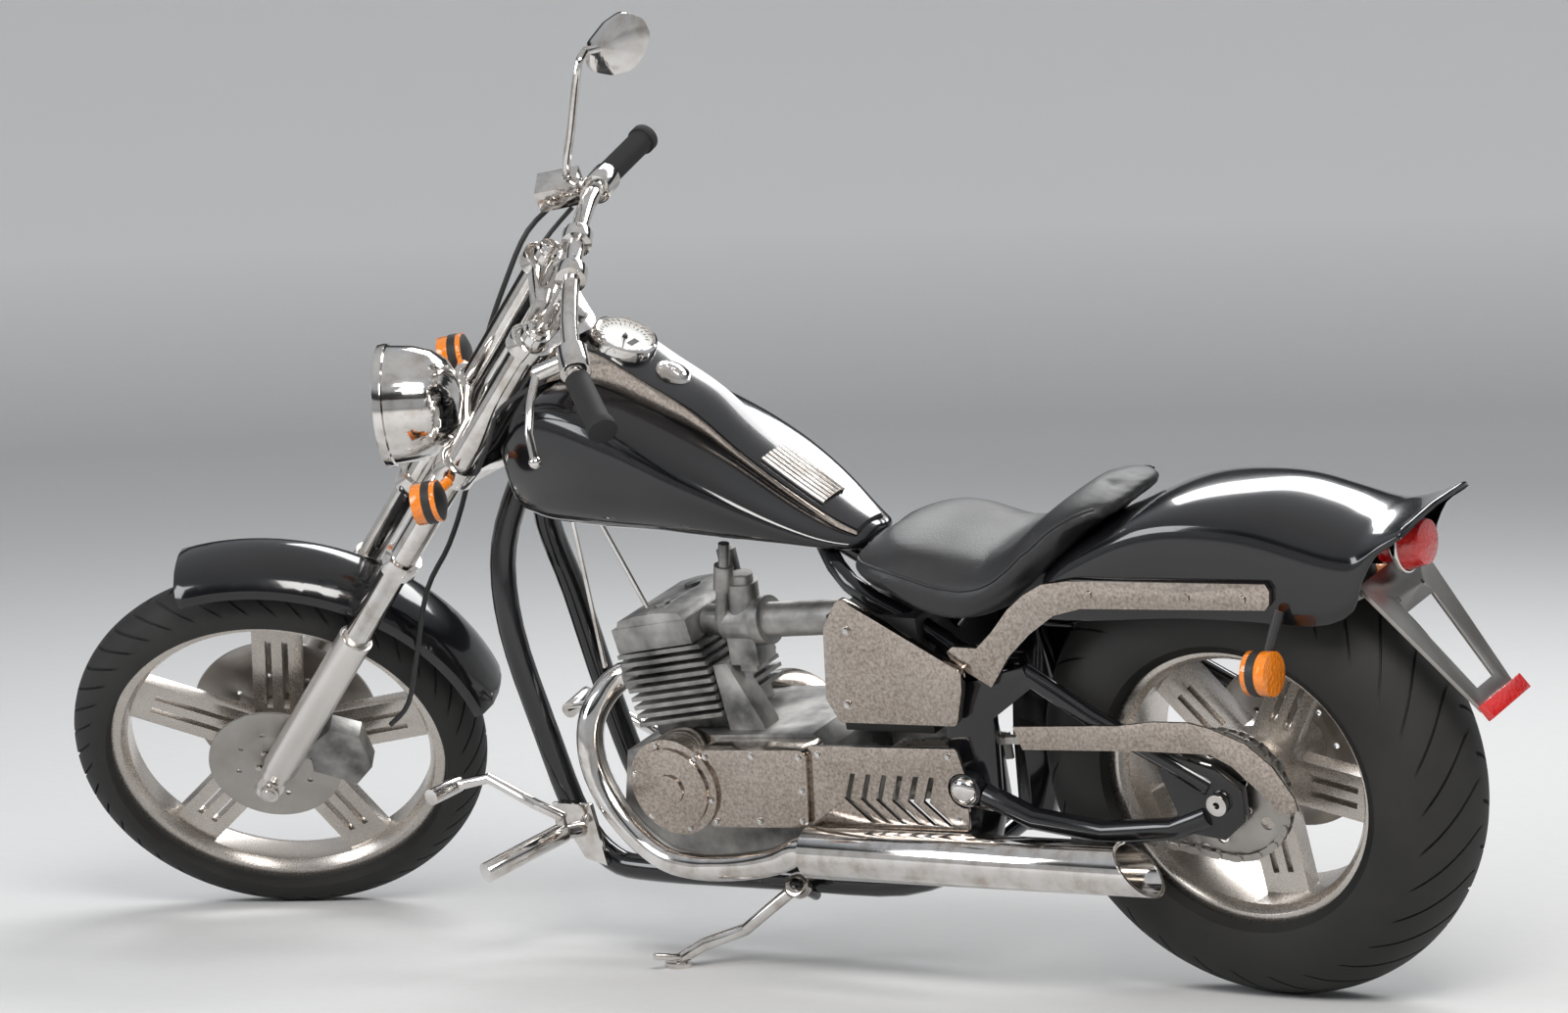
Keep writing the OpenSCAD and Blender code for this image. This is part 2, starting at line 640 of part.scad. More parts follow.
module carburettor() {
    color("silver") parked() {
        rod([839, 40, 530], [790, 46, 528], 22);
        rod([800, 46, 528], [744, 50, 534], 29);
        rod([746, 50, 534], [728, 50, 536], 35);
        rod([730, 50, 536], [600, 50, 545], 25);
        // Float bowl and throttle top
        translate([746, 26, 474]) cube([47, 46, 40]);
        translate([756, 34, 462]) cube([28, 30, 14]);
        rod([770, 48, 545], [767, 48, 592], 23);
        rod([767, 48, 590], [766, 48, 604], 17);
        // Breather with its tall cap
        rod([815, 0, 575], [818, 0, 622], 14);
        rod([815, 0, 578], [790, 40, 540], 9);
        rod([800, 66, 540], [788, 66, 590], 9);
        rod([788, 66, 586], [779, 66, 622], 14);
        rod([779, 66, 620], [772, 66, 655], 8);
    }
}
module round_cover() {
    color("silver") parked() translate([876, 0, 315]) {
        across(72, block_half + seat_gap, 150);
        across(60, 150, 157);
        across(22, 157, 163);
    }
}
module square_cover() {
    color("silver") parked() difference() {
        rounded_plate([[825, 372], [642, 380], [660, 262], [829, 255]], block_half + seat_gap, 146, 12);
        translate([876, 0, 315]) across(72 + seat_gap, 0, 200);
    }
}
louvres = 6;
louvre_pitch = 26;
module louvred_cover() {
    color("silver") parked() {
        difference() {
            rounded_plate([[641, 384], [397, 390], [389, 345], [397, 268], [659, 262]], 134, 140, 6);
            for (k = [0:louvres - 1]) translate([570 - louvre_pitch * k, 0, 0]) plate([
                [0, 346], [9, 346], [25, 308], [-11, 274], [-20, 274], [15, 308]
            ], 130, 150);
            translate([pivot[0], 0, pivot[1]]) across(26, 100, 160);
        }
        translate([440, 0, 342]) across(7, rail_y + 14.3, 135);
    }
}
module clutch_cover() {
    color("silver") parked() {
        translate([850, 0, 290]) across(92, -148, -block_half - seat_gap);
        translate([850, 0, 290]) across(40, -156, -148);
        rounded_plate([[780, 350], [655, 360], [665, 240], [780, 230]], -140, -block_half - seat_gap, 12);
    }
}
header_r = 20;
muffler_from = [648, 170, 236];
muffler_to = [60, 170, 240];
muffler_axis = unit(muffler_to - muffler_from);
port_axis = [cos(cyl_tilt), 0, -sin(cyl_tilt)];
port_rise = [sin(cyl_tilt), 0, cos(cyl_tilt)];
port_end = cylinder_foot + port_axis * port_out + port_rise * port_up + [0, port_y, 0];
exhaust_path = [
    port_end + port_axis * 0.4, port_end + port_axis * 4, port_end + port_axis * 9, [1012, 44, 436], [1029, 60, 421],
    [1042, 84, 394], [1045, 100, 356], [1036, 110, 312], [1006, 121, 262], [962, 131, 222], [918, 141, 201],
    [872, 149, 195.5], [820, 157, 198], [755, 164, 208], [700, 169, 222], muffler_from - muffler_axis * 21,
    muffler_from - muffler_axis * 4, muffler_from - muffler_axis * 0.5
];
module exhaust_header() {
    line = spline(exhaust_path, 3);
    n = len(line) - 1;
    color("silver") parked() {
        sweep(line, [for (i = [0:n]) header_r + (muffler_r - 3 - header_r) * pow(max(0, (i - n + 6) / 6), 1.5)], 20);
    }
}
module muffler() {
    color("silver") parked() difference() {
        rod(muffler_from, muffler_to, muffler_r);
        // Slash-cut outlet
        translate([118, 90, 240]) rotate([0, 38, 0]) translate([-200, 0, -150]) cube([200, 160, 300]);
        rod(muffler_to - muffler_axis * 240, muffler_to + muffler_axis * 20, muffler_r - 5);
    }
}
chain_y = sprocket_y;
front_sprocket = [500, 345];
module chain() {
    chain_t = 9;
    color("gray") parked() difference() {
        hull() {
            translate([0, chain_y, rear_axle_z]) across(sprocket_r + chain_t, -2, disc_t + 2, $fn = 64);
            translate([front_sprocket[0], chain_y, front_sprocket[1]]) across(28 + chain_t, -2, disc_t + 2, $fn = 32);
        }
        hull() {
            translate([0, chain_y, rear_axle_z]) across(sprocket_r, -9, disc_t + 9, $fn = 64);
            translate([front_sprocket[0], chain_y, front_sprocket[1]]) across(28, -9, disc_t + 9, $fn = 32);
        }
    }
}
module chain_guard() {
    color("silver") parked() {
        plate([
            [298, 428], [133, 436], [77, 444], [22, 445], [-10, 438], [-61, 418], [-96, 387], [-122, 344], [-125, 325],
            [-97, 318], [-70, 351], [-35, 385], [-4, 401], [98, 401], [288, 395]
        ], swing_y + 16, swing_y + 20);
        translate([125, 0, 409]) across(6, swing_y + 14.1, swing_y + 17);
    }
}
module foot_control(side) {
    s = side;
    y0 = rail_y + tube_r + 1.2;
    plate([[1128, 262], [1060, 262], [1050, 168], [1086, 178]], s > 0 ? y0 : -y0 - 8, s > 0 ? y0 + 8 : -y0);
    // Seat of the plate on the rail
    translate([1104, 0, 230]) across(9, s > 0 ? rail_y + tube_r + 0.1 : -y0 - 1, s > 0 ? y0 + 1 : -rail_y - tube_r - 0.1);
    rod([1085, s * y0, 222], [1085, s * 150, 235], 12);
    rod([1086, s * 150, 235], [1138, s * 278, 222], 15);
    rod([1086, s * 150, 235], [1086, s * 150, 262], 8);
    sweep([[1080, s * 150, 258], [1124, s * 150, 276], [1200, s * 151, 314], [1262, s * 152, 300]], 8, 12);
    rod([1262, s * 146, 300], [1268, s * 206, 303], 12);
}
module foot_control_left() {
    color("silver") parked() foot_control(1);
}
module foot_control_right() {
    color("silver") parked() foot_control(-1);
}

module engine_stays() {
    color("silver") parked() {
        rod([1030, 60, 680.4], [1022, 62, 458], 3.5);
        rod([981, 60, 677.1], [930, 58, 551], 3.5);
    }
}

// ---- Side stand ----
stand_pivot = [709, 122, 160];
foot_x = 886;
foot_y = 205;
stand_pin_r = 8;
stand_axis = unit([-0.06, 0.79, 0.61]);
foot_top = [foot_x, foot_y, ground(foot_x, foot_y) + 10];
module along(v) {
    rotate([0, acos(v[2]), atan2(v[1], v[0])]) children();
}
module side_stand() {
    color("silver") parked() {
        difference() {
            union() {
                translate(stand_pivot) along(stand_axis) cylinder(r = 18, h = 14);
                sweep([
                    stand_pivot + stand_axis * 8 + [14, 6, -10], [800, foot_y * 0.72, 100],
                    [850, foot_y * 0.9, ground(850, foot_y * 0.9) + 34], foot_top
                ], 9, 12);
            }
            translate(stand_pivot) along(stand_axis) translate([0, 0, -5]) cylinder(r = stand_pin_r + fit, h = 30);
        }
        rod(foot_top - [8, 2, -4], foot_top + [10, 38, 22], 5);
        translate([foot_x, foot_y, ground(foot_x, foot_y)]) rotate([lean, 0, 0]) rotate([0, -pitch, 0])
            cylinder(r = 20, h = 8);
    }
}

// ---- Steering ----
leg_r = tube_d / 2;
slider_top = 318;
fork_top = 960;
module fork_clamps() {
    color("silver") steered() on_fork() {
        difference() {
            union() {
                for (s = [[lower_clamp_s, lower_clamp_t], [upper_clamp_s, upper_clamp_t]]) {
                    translate([0, 0, s[0]]) cylinder(r = 34, h = s[1]);
                    for (side = [-1, 1]) translate([fork_offset, side * leg_y, s[0]]) cylinder(r = 32, h = s[1]);
                    translate([0, 0, s[0]]) linear_extrude(s[1]) polygon([
                        [-24, -24], [-24, 24], [fork_offset - 24, leg_y + 12], [fork_offset + 22, leg_y + 12],
                        [fork_offset + 4, 0], [fork_offset + 22, -leg_y - 12], [fork_offset - 24, -leg_y - 12]
                    ]);
                }
                translate([0, 0, lower_clamp_s]) cylinder(r = stem_r, h = upper_clamp_s - lower_clamp_s + 30);
                translate([0, 0, upper_clamp_s + 10]) cylinder(r = 20, h = 24, $fn = 6);
            }
            for (side = [-1, 1]) translate([fork_offset, side * leg_y, 600]) cylinder(r = leg_r + fit, h = 400);
        }
    }
}
module fork_tubes() {
    color("silver") steered() on_fork() for (side = [-1, 1]) translate([fork_offset, side * leg_y, 0]) {
        translate([0, 0, slider_top - 180]) cylinder(r = leg_r, h = fork_top - slider_top + 180);
        translate([0, 0, fork_top]) cylinder(r = leg_r - 4, h = 8);
        translate([0, 0, slider_top + 150]) cylinder(r = leg_r + 8, h = 26);
    }
}
module fork_sliders() {
    color("silver") steered() on_fork() for (side = [-1, 1]) translate([fork_offset, side * leg_y, 0]) difference() {
        union() {
            translate([0, 0, 30]) cylinder(r = slider_d / 2, h = slider_top - 30);
            translate([0, 0, -26]) cylinder(r1 = 18, r2 = slider_d / 2 - 2, h = 60);
            across(20, -16, 16);
        }
        translate([0, 0, slider_top - 181]) cylinder(r = leg_r + fit, h = 200);
        across(axle_r + fit, -60, 60);
    }
}
module front_axle() {
    color("silver") wheel_place_front() {
        across(axle_r, -leg_y - 36, leg_y + 36);
        across(axle_r + 3, front_hub_y + disc_t + 1, leg_y - slider_d / 2 - 1);
        across(axle_r + 3, -leg_y + slider_d / 2 + 1, -front_hub_y - disc_t - 1);
        for (side = [-1, 1]) translate([0, side * (leg_y + 29), 0]) across(14, -5, 5);
    }
}
lamp = fork_at([fork_offset + 72.4, 0, 691.8]);
lamp_tilt = 8;
module headlight() {
    color("silver") steered() {
        translate(lamp) rotate([0, 90 - lamp_tilt, 0]) difference() {
            translate([0, 0, -60]) rotate_extrude($fn = 64) polygon([
                [0, 0], [34, 4], [58, 16], [74, 36], [83, 64], [86, 94], [86, 100], [89, 102], [89, 112], [0, 112]
            ]);
            translate([0, 0, 38]) cylinder(r = 80, h = 20);
            // Flat behind, clear of the lower clamp
            rotate([0, lamp_tilt - 90, 0]) translate(-lamp) on_fork()
                translate([-100, -140, lower_clamp_s - 1]) cube([179 + fork_offset - 55, 280, lower_clamp_t + 2]);
        }
        rod(lamp + [-20, 0, -66], fork_at([fork_offset + 14, 0, 660]), 10);
        translate(fork_at([fork_offset - 10, 0, 655])) rotate([0, -rake, 0]) cylinder(r = 22, h = 12.7);
    }
}
module headlight_lens() {
    color("white") steered() translate(lamp) rotate([0, 90 - lamp_tilt, 0]) translate([0, 0, 38.2])
        rotate_extrude($fn = 64) polygon([[0, 0], [79.8, 0], [79.8, 9], [60, 14], [30, 17], [0, 18]]);
}
module front_signal(side) {
    lamp_at = fork_at([fork_offset + 27, side * (leg_y + 76), 664.4]);
    color("orange") steered() {
        translate(lamp_at) rotate([0, 90, 0]) translate([0, 0, -18]) cylinder(r = 30, h = 36);
        rod(fork_at([fork_offset + 8, side * (leg_y + 34.5), 682]), lamp_at - [3, side * 12, 0], 8);
    }
}
module front_signal_left() {
    front_signal(1);
}
module front_signal_right() {
    front_signal(-1);
}
bar_r = 12.5;
// Right-handed half of the bar from its middle out, along the steering axis
bar_half = [
    for (p = [[40.2, 0, 1034.8], [39.5, 66, 1035.5], [31.3, 142, 1029.5], [18, 196, 1022.6], [6, 238, 1020], [-34, 335, 1032.3]])
        fork_at(p)
];
riser_y = 42;
bar_path = concat(reversed(mirrored([for (i = [1:5]) bar_half[i]])), bar_half);
module handlebar() {
    color("silver") steered() difference() {
        union() {
            sweep(spline(bar_path, 2), bar_r, 16);
            for (side = [-1, 1]) {
                rod(fork_at([30, side * riser_y, upper_clamp_s + upper_clamp_t - 2]), fork_at([35, side * riser_y, 1020.5]), 15);
                translate(fork_at([40.6, side * riser_y, 1034.8])) across(22, -12, 12);
            }
        }
        // Threaded bottom ends of the risers
        for (side = [-1, 1])
            rod(fork_at([30, side * riser_y, upper_clamp_s - 10]), fork_at([30, side * riser_y, upper_clamp_s + upper_clamp_t]), 30);
    }
}
module grips() {
    color("black") steered() for (side = [-1, 1]) difference() {
        union() {
            rod(fork_at([4.5, side * 243, 1020.5]), fork_at([-35, side * 338, 1032.6]), 18);
            rod(fork_at([-33, side * 333, 1032]), fork_at([-38.3, side * 346, 1033.6]), 21);
        }
        sweep(spline(bar_path, 2), bar_r + seat_gap, 16);
    }
}
lever_path = [[51, 204, 979], [50, 262, 968], [38, 300, 946], [15, 322, 921]];
module hand_controls() {
    color("silver") steered() for (side = [-1, 1]) {
        difference() {
            union() {
                rod(fork_at([20, side * 190, 1023]), fork_at([8, side * 231, 1021]), 22);
                rod(fork_at([20, side * 204, 1019]), fork_at([51, side * 208, 976]), 12);
            }
            sweep(spline(bar_path, 2), bar_r + seat_gap, 16);
        }
        sweep([for (p = lever_path) fork_at([p[0], side * p[1], p[2]])], 6, 10);
        translate(fork_at([15, side * 322, 921])) sphere(9, $fn = 24);
        if (side < 0) translate(fork_at([32, -216, 1007])) cube([62, 50, 34]);
    }
}
module mirror_right() {
    glass_at = fork_at([76, -298, 1193]);
    facing = unit([-0.58, 0.77, 0.2]);
    stem = [
        for (p = [[67.3, -194, 1023], [80, -199, 1052], [92, -213, 1089], [122, -234, 1172], [120, -262, 1184]]) fork_at(p)
    ];
    color("silver") steered() {
        sweep(spline(stem, 3), 6, 10);
        rod(stem[4] - [0, 2, 0], glass_at - facing * 6, 6);
        translate(glass_at) along(facing) translate([0, 0, -7]) linear_extrude(14) offset(r = 21, $fn = 48)
            polygon([[4, -30], [-8, -24], [-18, 2], [-19, 20], [-8, 30], [2, 30], [14, 18], [20, 2], [14, -18]]);
    }
}
module front_fender() {
    in_r = front_tyre_r + 18;
    color("black") wheel_place_front() {
        rotate([90, 0, 0]) rotate([0, 0, 84]) rotate_extrude(angle = 92, $fn = 96) polygon([
            [in_r - 6, -64], [in_r + 8, -62], [in_r + 22, -44], [in_r + 28, -20], [in_r + 29, 0], [in_r + 28, 20], [in_r + 22, 44],
            [in_r + 8, 62], [in_r - 6, 64], [in_r - 6, 61], [in_r + 6, 59], [in_r + 19, 42], [in_r + 25, 18], [in_r + 26, 0],
            [in_r + 25, -18], [in_r + 19, -42], [in_r + 6, -59], [in_r - 6, -61]
        ]);
    }
    color("black") steered() for (side = [-1, 1])
        rod(fork_at([fork_offset, side * (leg_y - slider_d / 2 - 4.5), 300]), fork_at([fork_offset, side * 61.5, 330]), 6);
}
module brake_caliper() {
    color("silver") wheel_place_front() difference() {
        union() {
            plate([[-62, -8], [-70, 40], [-112, 64], [-150, 40], [-150, -20], [-118, -46]], 48, 84);
            plate([[-20, 10], [-30, 60], [-90, 70], [-100, 20]], 70, leg_y - slider_d / 2 + 10);
        }
        across(front_disc_r * 0.72 + 5.1, front_hub_y - 5, front_hub_y + disc_t + 5);
        across(60, 0, 100);
        translate([0, leg_y, 0]) rotate([0, -rake, 0]) cylinder(r = slider_d / 2 + seat_gap, h = 400);
    }
}
// Routes along the steering axis: ahead of it, left of it, up it
hose_y = leg_y + 44;
brake_hose = [
    [53.8, -210, 972.5], [78, -182, 915], [76, -hose_y - 8, 840], [60, -hose_y - 2, 740], [40, -hose_y, 683], [10, -120, 600],
    [-12, -60, 520], [-16, 0, 470], [-8, leg_y - 34, 425], [-40, leg_y - 12, 320], [-66, leg_y - 12, 230], [-62, leg_y - 20, 172]
];
throttle_cable = [
    [34, -204, 968.5], [50, -180, 910], [56, -leg_y - 50, 840], [40, -leg_y - 28, 770], [30, -leg_y - 16, 699]
];
clutch_cable = mirrored(throttle_cable);
module control_cables() {
    color("black") steered() on_fork() {
        sweep(spline(brake_hose, 4), 4, 8);
        sweep(spline(throttle_cable, 4), 3.5, 8);
        sweep(spline(clutch_cable, 4), 3.5, 8);
    }
}

frame();
swingarm();
rear_axle();
fuel_tank();
tank_dash();
speedometer();
filler_cap();
tank_grille();
seat();
rear_fender();
fender_strut_left();
fender_strut_right();
tail_light();
plate_bracket();
rear_reflector();
rear_signal_left();
rear_signal_right();
battery_box();
side_cover_left();
side_cover_right();
engine_block();
cylinder_barrel();
cylinder_head();
carburettor();
round_cover();
square_cover();
louvred_cover();
clutch_cover();
exhaust_header();
muffler();
chain();
chain_guard();
foot_control_left();
foot_control_right();
engine_stays();
side_stand();
fork_clamps();
fork_tubes();
fork_sliders();
headlight();
headlight_lens();
front_signal_left();
front_signal_right();
handlebar();
grips();
hand_controls();
mirror_right();
front_fender();
front_axle();
brake_caliper();
control_cables();
front_rim();
front_tyre();
front_discs();
rear_rim();
rear_tyre();
rear_sprocket();
rear_disc();
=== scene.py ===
"""Looks for a cruiser motorcycle that leans on its side stand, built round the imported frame."""

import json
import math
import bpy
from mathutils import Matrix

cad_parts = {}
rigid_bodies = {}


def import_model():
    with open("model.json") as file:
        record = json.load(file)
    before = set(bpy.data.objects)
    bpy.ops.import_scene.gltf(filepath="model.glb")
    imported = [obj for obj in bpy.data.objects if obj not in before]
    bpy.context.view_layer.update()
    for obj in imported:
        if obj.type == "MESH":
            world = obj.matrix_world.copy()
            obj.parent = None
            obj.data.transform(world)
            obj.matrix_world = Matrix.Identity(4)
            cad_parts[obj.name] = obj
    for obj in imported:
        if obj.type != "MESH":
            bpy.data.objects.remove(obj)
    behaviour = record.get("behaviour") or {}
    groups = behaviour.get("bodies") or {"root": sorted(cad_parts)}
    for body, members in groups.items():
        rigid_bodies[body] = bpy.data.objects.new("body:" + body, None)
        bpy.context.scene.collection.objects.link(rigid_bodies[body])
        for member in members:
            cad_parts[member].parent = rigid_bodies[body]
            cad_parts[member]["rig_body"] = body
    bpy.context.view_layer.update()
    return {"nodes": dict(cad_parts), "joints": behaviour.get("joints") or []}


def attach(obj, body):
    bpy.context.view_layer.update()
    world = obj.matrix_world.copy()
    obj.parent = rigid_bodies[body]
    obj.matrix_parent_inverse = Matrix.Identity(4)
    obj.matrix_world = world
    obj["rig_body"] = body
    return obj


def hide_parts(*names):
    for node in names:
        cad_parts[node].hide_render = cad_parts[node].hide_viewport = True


bl_info = {
    "name": "Cruiser Motorcycle",
    "version": (1, 0, 0),
    "blender": (4, 5, 0),
    "location": "View3D > Sidebar > Cruiser",
    "description": "Builds the finishes and fine pieces of a cruiser motorcycle",
    "category": "Add Mesh",
}

import bmesh
import bpy
import numpy as np
from mathutils import Matrix, Vector
from mathutils.bvhtree import BVHTree

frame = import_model()
JOINTS = {j["name"]: j for j in frame["joints"]}


# ---- Places, all worked out from the frame's joints ----


def joint_point(name):
    return Vector(JOINTS[name]["pos_m"])


def joint_axis(name):
    return Vector(JOINTS[name]["axis"]).normalized()


REAR_R = 0.326
FRONT_R = 0.313
LEFT = joint_axis("rear_wheel_spin")
PITCH = math.atan2(-LEFT.x, -LEFT.z)
AHEAD = Vector((math.cos(PITCH), 0, -math.sin(PITCH)))
UP = AHEAD.cross(LEFT)


def place(x_axis, y_axis, z_axis, origin):
    """Matrix with these axes and origin."""
    m = Matrix((x_axis, y_axis, z_axis)).transposed().to_4x4()
    m.translation = origin
    return m


# The upright machine: x ahead of the rear axle, y left, z up from the ground
BIKE = place(AHEAD, LEFT, UP, joint_point("rear_wheel_spin") - REAR_R * UP)
STEM = joint_point("steering_turn")
STEM_AXIS = joint_axis("steering_turn")
FRONT_LEFT = joint_axis("front_wheel_spin")
STEER = LEFT.angle(FRONT_LEFT)
TURN = Matrix.Translation(STEM) @ Matrix.Rotation(STEER, 4, STEM_AXIS) @ Matrix.Translation(-STEM)
STEERED = TURN @ BIKE
# Along the steering axis: x ahead of it, z up it
FORK = place(
    (TURN.to_3x3() @ LEFT).cross(STEM_AXIS).normalized(), TURN.to_3x3() @ LEFT, STEM_AXIS, STEM
)
REAR_HUB = BIKE.copy()
REAR_HUB.translation = joint_point("rear_wheel_spin")
FRONT_HUB = STEERED.copy()
FRONT_HUB.translation = joint_point("front_wheel_spin")


# ---- Shader maths ----


class Link:
    """A node socket that takes part in arithmetic."""

    def __init__(self, tree, socket):
        self.tree = tree
        self.socket = socket

    def math(self, operation, *values):
        node = self.tree.nodes.new("ShaderNodeMath")
        node.operation = operation
        for place_in, value in zip(node.inputs, values):
            join(self.tree, value, place_in)
        return Link(self.tree, node.outputs[0])

    def __add__(self, other):
        return self.math("ADD", self, other)

    __radd__ = __add__

    def __mul__(self, other):
        return self.math("MULTIPLY", self, other)

    __rmul__ = __mul__

    def __sub__(self, other):
        return self.math("SUBTRACT", self, other)

    def __rsub__(self, other):
        return self.math("SUBTRACT", other, self)

    def __truediv__(self, other):
        return self.math("DIVIDE", self, other)

    def __rtruediv__(self, other):
        return self.math("DIVIDE", other, self)

    def __pow__(self, other):
        return self.math("POWER", self, other)

    def __rpow__(self, other):
        return self.math("POWER", other, self)

    def __gt__(self, other):
        return self.math("GREATER_THAN", self, other)

    def __lt__(self, other):
        return self.math("LESS_THAN", self, other)


def join(tree, value, socket):
    if isinstance(value, Link):
        tree.links.new(value.socket, socket)
    else:
        socket.default_value = value


class Nodes:
    """Makes nodes in one tree."""

    def __init__(self, tree):
        self.tree = tree

    def node(self, kind, settings=None, output=0, **values):
        made = self.tree.nodes.new(kind)
        for key, value in (settings or {}).items():
            if key == "stops":
                self.set_stops(made, value)
            else:
                setattr(made, key, value)
        for name, value in values.items():
            socket = made.inputs[int(name[1:])] if name[1:].isdigit() else made.inputs[name.replace("_", " ")]
            join(self.tree, value, socket)
        return Link(self.tree, made.outputs[output])

    @staticmethod
    def set_stops(made, stops):
        ramp = made.color_ramp
        while len(ramp.elements) < len(stops):
            ramp.elements.new(0.5)
        for element, (position, colour) in zip(ramp.elements, stops):
            element.position = position
            element.color = colour

    def coords(self):
        return self.node("ShaderNodeTexCoord", output=3)

    def noise(self, scale, detail=3.0, rough=0.55, distortion=0.0):
        return self.node(
            "ShaderNodeTexNoise", Vector=self.coords(), Scale=scale, Detail=detail, Roughness=rough,
            Distortion=distortion,
        )

    def ramp(self, value, *stops):
        return self.node("ShaderNodeValToRGB", {"stops": stops}, Fac=value)

    def mix(self, factor, first, second):
        return self.node("ShaderNodeMix", {"data_type": "RGBA"}, output=2, _0=factor, _6=first, _7=second)

    def bump(self, height, strength, distance):
        return self.node("ShaderNodeBump", Height=height, Strength=strength, Distance=distance)


class Finish(Nodes):
    """One procedural material: a Principled shader and the nodes that feed it."""

    def __init__(self, name, **uniform):
        self.material = bpy.data.materials.new(name)
        self.material.use_nodes = True
        super().__init__(self.material.node_tree)
        self.shader = self.tree.nodes["Principled BSDF"]
        for socket, value in uniform.items():
            self.shader.inputs[socket.replace("_", " ")].default_value = value

    def feed(self, **links):
        for socket, value in links.items():
            join(self.tree, value, self.shader.inputs[socket.replace("_", " ")])
        return self.material


def grey(level):
    return (level, level, level, 1.0)


def tint(red, green, blue):
    return (red, green, blue, 1.0)


# ---- Finishes ----


def gloss_black():
    paint = bpy.context.scene.cruiser_colours.paint
    f = Finish("gloss black paint", Coat_Weight=0.6, Coat_Roughness=0.02, Specular_IOR_Level=0.4)
    dust = f.noise(9.0, 5.0)
    peel = f.noise(900.0, 1.0)
    colour = f.mix(dust, tint(*[0.6 * c for c in paint]), tint(*[1.8 * c for c in paint]))
    return f.feed(Base_Color=colour, Roughness=0.10 + 0.10 * dust, Normal=f.bump(peel, 0.03, 0.0004))


def chrome():
    f = Finish("polished chrome")
    blotch = f.noise(26.0, 5.0, 0.6)
    smear = f.noise(7.0, 3.0, 0.5, 1.2)
    colour = f.ramp(blotch, (0.30, tint(0.52, 0.47, 0.42)), (0.5, tint(0.74, 0.71, 0.68)), (0.7, tint(0.83, 0.82, 0.81)))
    return f.feed(
        Base_Color=colour, Metallic=1.0, Roughness=0.05 + 0.10 * smear, Normal=f.bump(blotch, 0.05, 0.001)
    )


def plate_chrome():
    f = Finish("pressed chrome plate")
    pebble = f.noise(210.0, 6.0, 0.7)
    wide = f.noise(11.0, 3.0, 0.5)
    mottled = f.ramp(
        pebble, (0.32, tint(0.17, 0.13, 0.10)), (0.47, tint(0.36, 0.30, 0.25)), (0.66, tint(0.58, 0.51, 0.45))
    )
    colour = f.mix(0.35 * wide, mottled, tint(0.60, 0.58, 0.56))
    return f.feed(Base_Color=colour, Metallic=1.0, Roughness=0.10 + 0.12 * wide, Normal=f.bump(pebble, 0.10, 0.0008))


def cast_alloy():
    f = Finish("machined wheel alloy")
    grain = f.noise(420.0, 4.0, 0.7)
    wide = f.noise(9.0, 4.0)
    colour = f.mix(wide, tint(0.46, 0.41, 0.36), tint(0.78, 0.74, 0.70))
    return f.feed(Base_Color=colour, Metallic=0.95, Roughness=0.20 + 0.16 * grain, Normal=f.bump(grain, 0.08, 0.0005))


def fork_alloy():
    f = Finish("satin fork alloy")
    grain = f.noise(600.0, 3.0)
    wide = f.noise(6.0, 3.0)
    colour = f.mix(wide, tint(0.62, 0.58, 0.54), tint(0.80, 0.78, 0.75))
    return f.feed(Base_Color=colour, Metallic=0.9, Roughness=0.24 + 0.12 * grain, Normal=f.bump(grain, 0.06, 0.0004))


def engine_cast():
    f = Finish("cast engine alloy")
    grain = f.noise(300.0, 6.0, 0.75)
    wide = f.noise(14.0, 4.0)
    colour = f.ramp(wide, (0.32, tint(0.10, 0.10, 0.10)), (0.68, tint(0.48, 0.47, 0.45)))
    return f.feed(Base_Color=colour, Metallic=0.85, Roughness=0.30 + 0.25 * grain, Normal=f.bump(grain, 0.35, 0.0015))


def bare_steel():
    f = Finish("turned steel")
    grain = f.noise(500.0, 4.0)
    wide = f.noise(18.0, 4.0)
    colour = f.mix(wide, tint(0.30, 0.28, 0.26), tint(0.56, 0.54, 0.51))
    return f.feed(Base_Color=colour, Metallic=1.0, Roughness=0.26 + 0.2 * grain, Normal=f.bump(grain, 0.1, 0.0005))


def tyre_rubber():
    f = Finish("tyre rubber", Specular_IOR_Level=0.35)
    grain = f.noise(700.0, 4.0)
    wide = f.noise(12.0, 4.0)
    colour = f.mix(wide, tint(0.010, 0.010, 0.010), tint(0.032, 0.031, 0.029))
    return f.feed(Base_Color=colour, Roughness=0.55 + 0.25 * wide, Normal=f.bump(grain, 0.25, 0.0008))


def soft_rubber():
    f = Finish("grip rubber", Specular_IOR_Level=0.3)
    grain = f.noise(900.0, 3.0)
    colour = f.mix(grain, tint(0.012, 0.012, 0.012), tint(0.030, 0.030, 0.030))
    return f.feed(Base_Color=colour, Roughness=0.6 + 0.2 * grain, Normal=f.bump(grain, 0.3, 0.0006))


def seat_vinyl():
    f = Finish("seat vinyl", Specular_IOR_Level=0.5)
    pores = f.node("ShaderNodeTexVoronoi", Vector=f.coords(), Scale=420.0)
    wide = f.noise(10.0, 4.0)
    cover = bpy.context.scene.cruiser_colours.seat
    colour = f.mix(wide, tint(*[0.6 * c for c in cover]), tint(*[1.6 * c for c in cover]))
    return f.feed(Base_Color=colour, Roughness=0.34 + 0.22 * wide, Normal=f.bump(pores, 0.35, 0.0006))


def black_plastic():
    f = Finish("black plastic")
    grain = f.noise(500.0, 4.0)
    colour = f.mix(grain, tint(0.010, 0.010, 0.010), tint(0.028, 0.028, 0.028))
    return f.feed(Base_Color=colour, Roughness=0.38 + 0.2 * grain, Normal=f.bump(grain, 0.2, 0.0005))


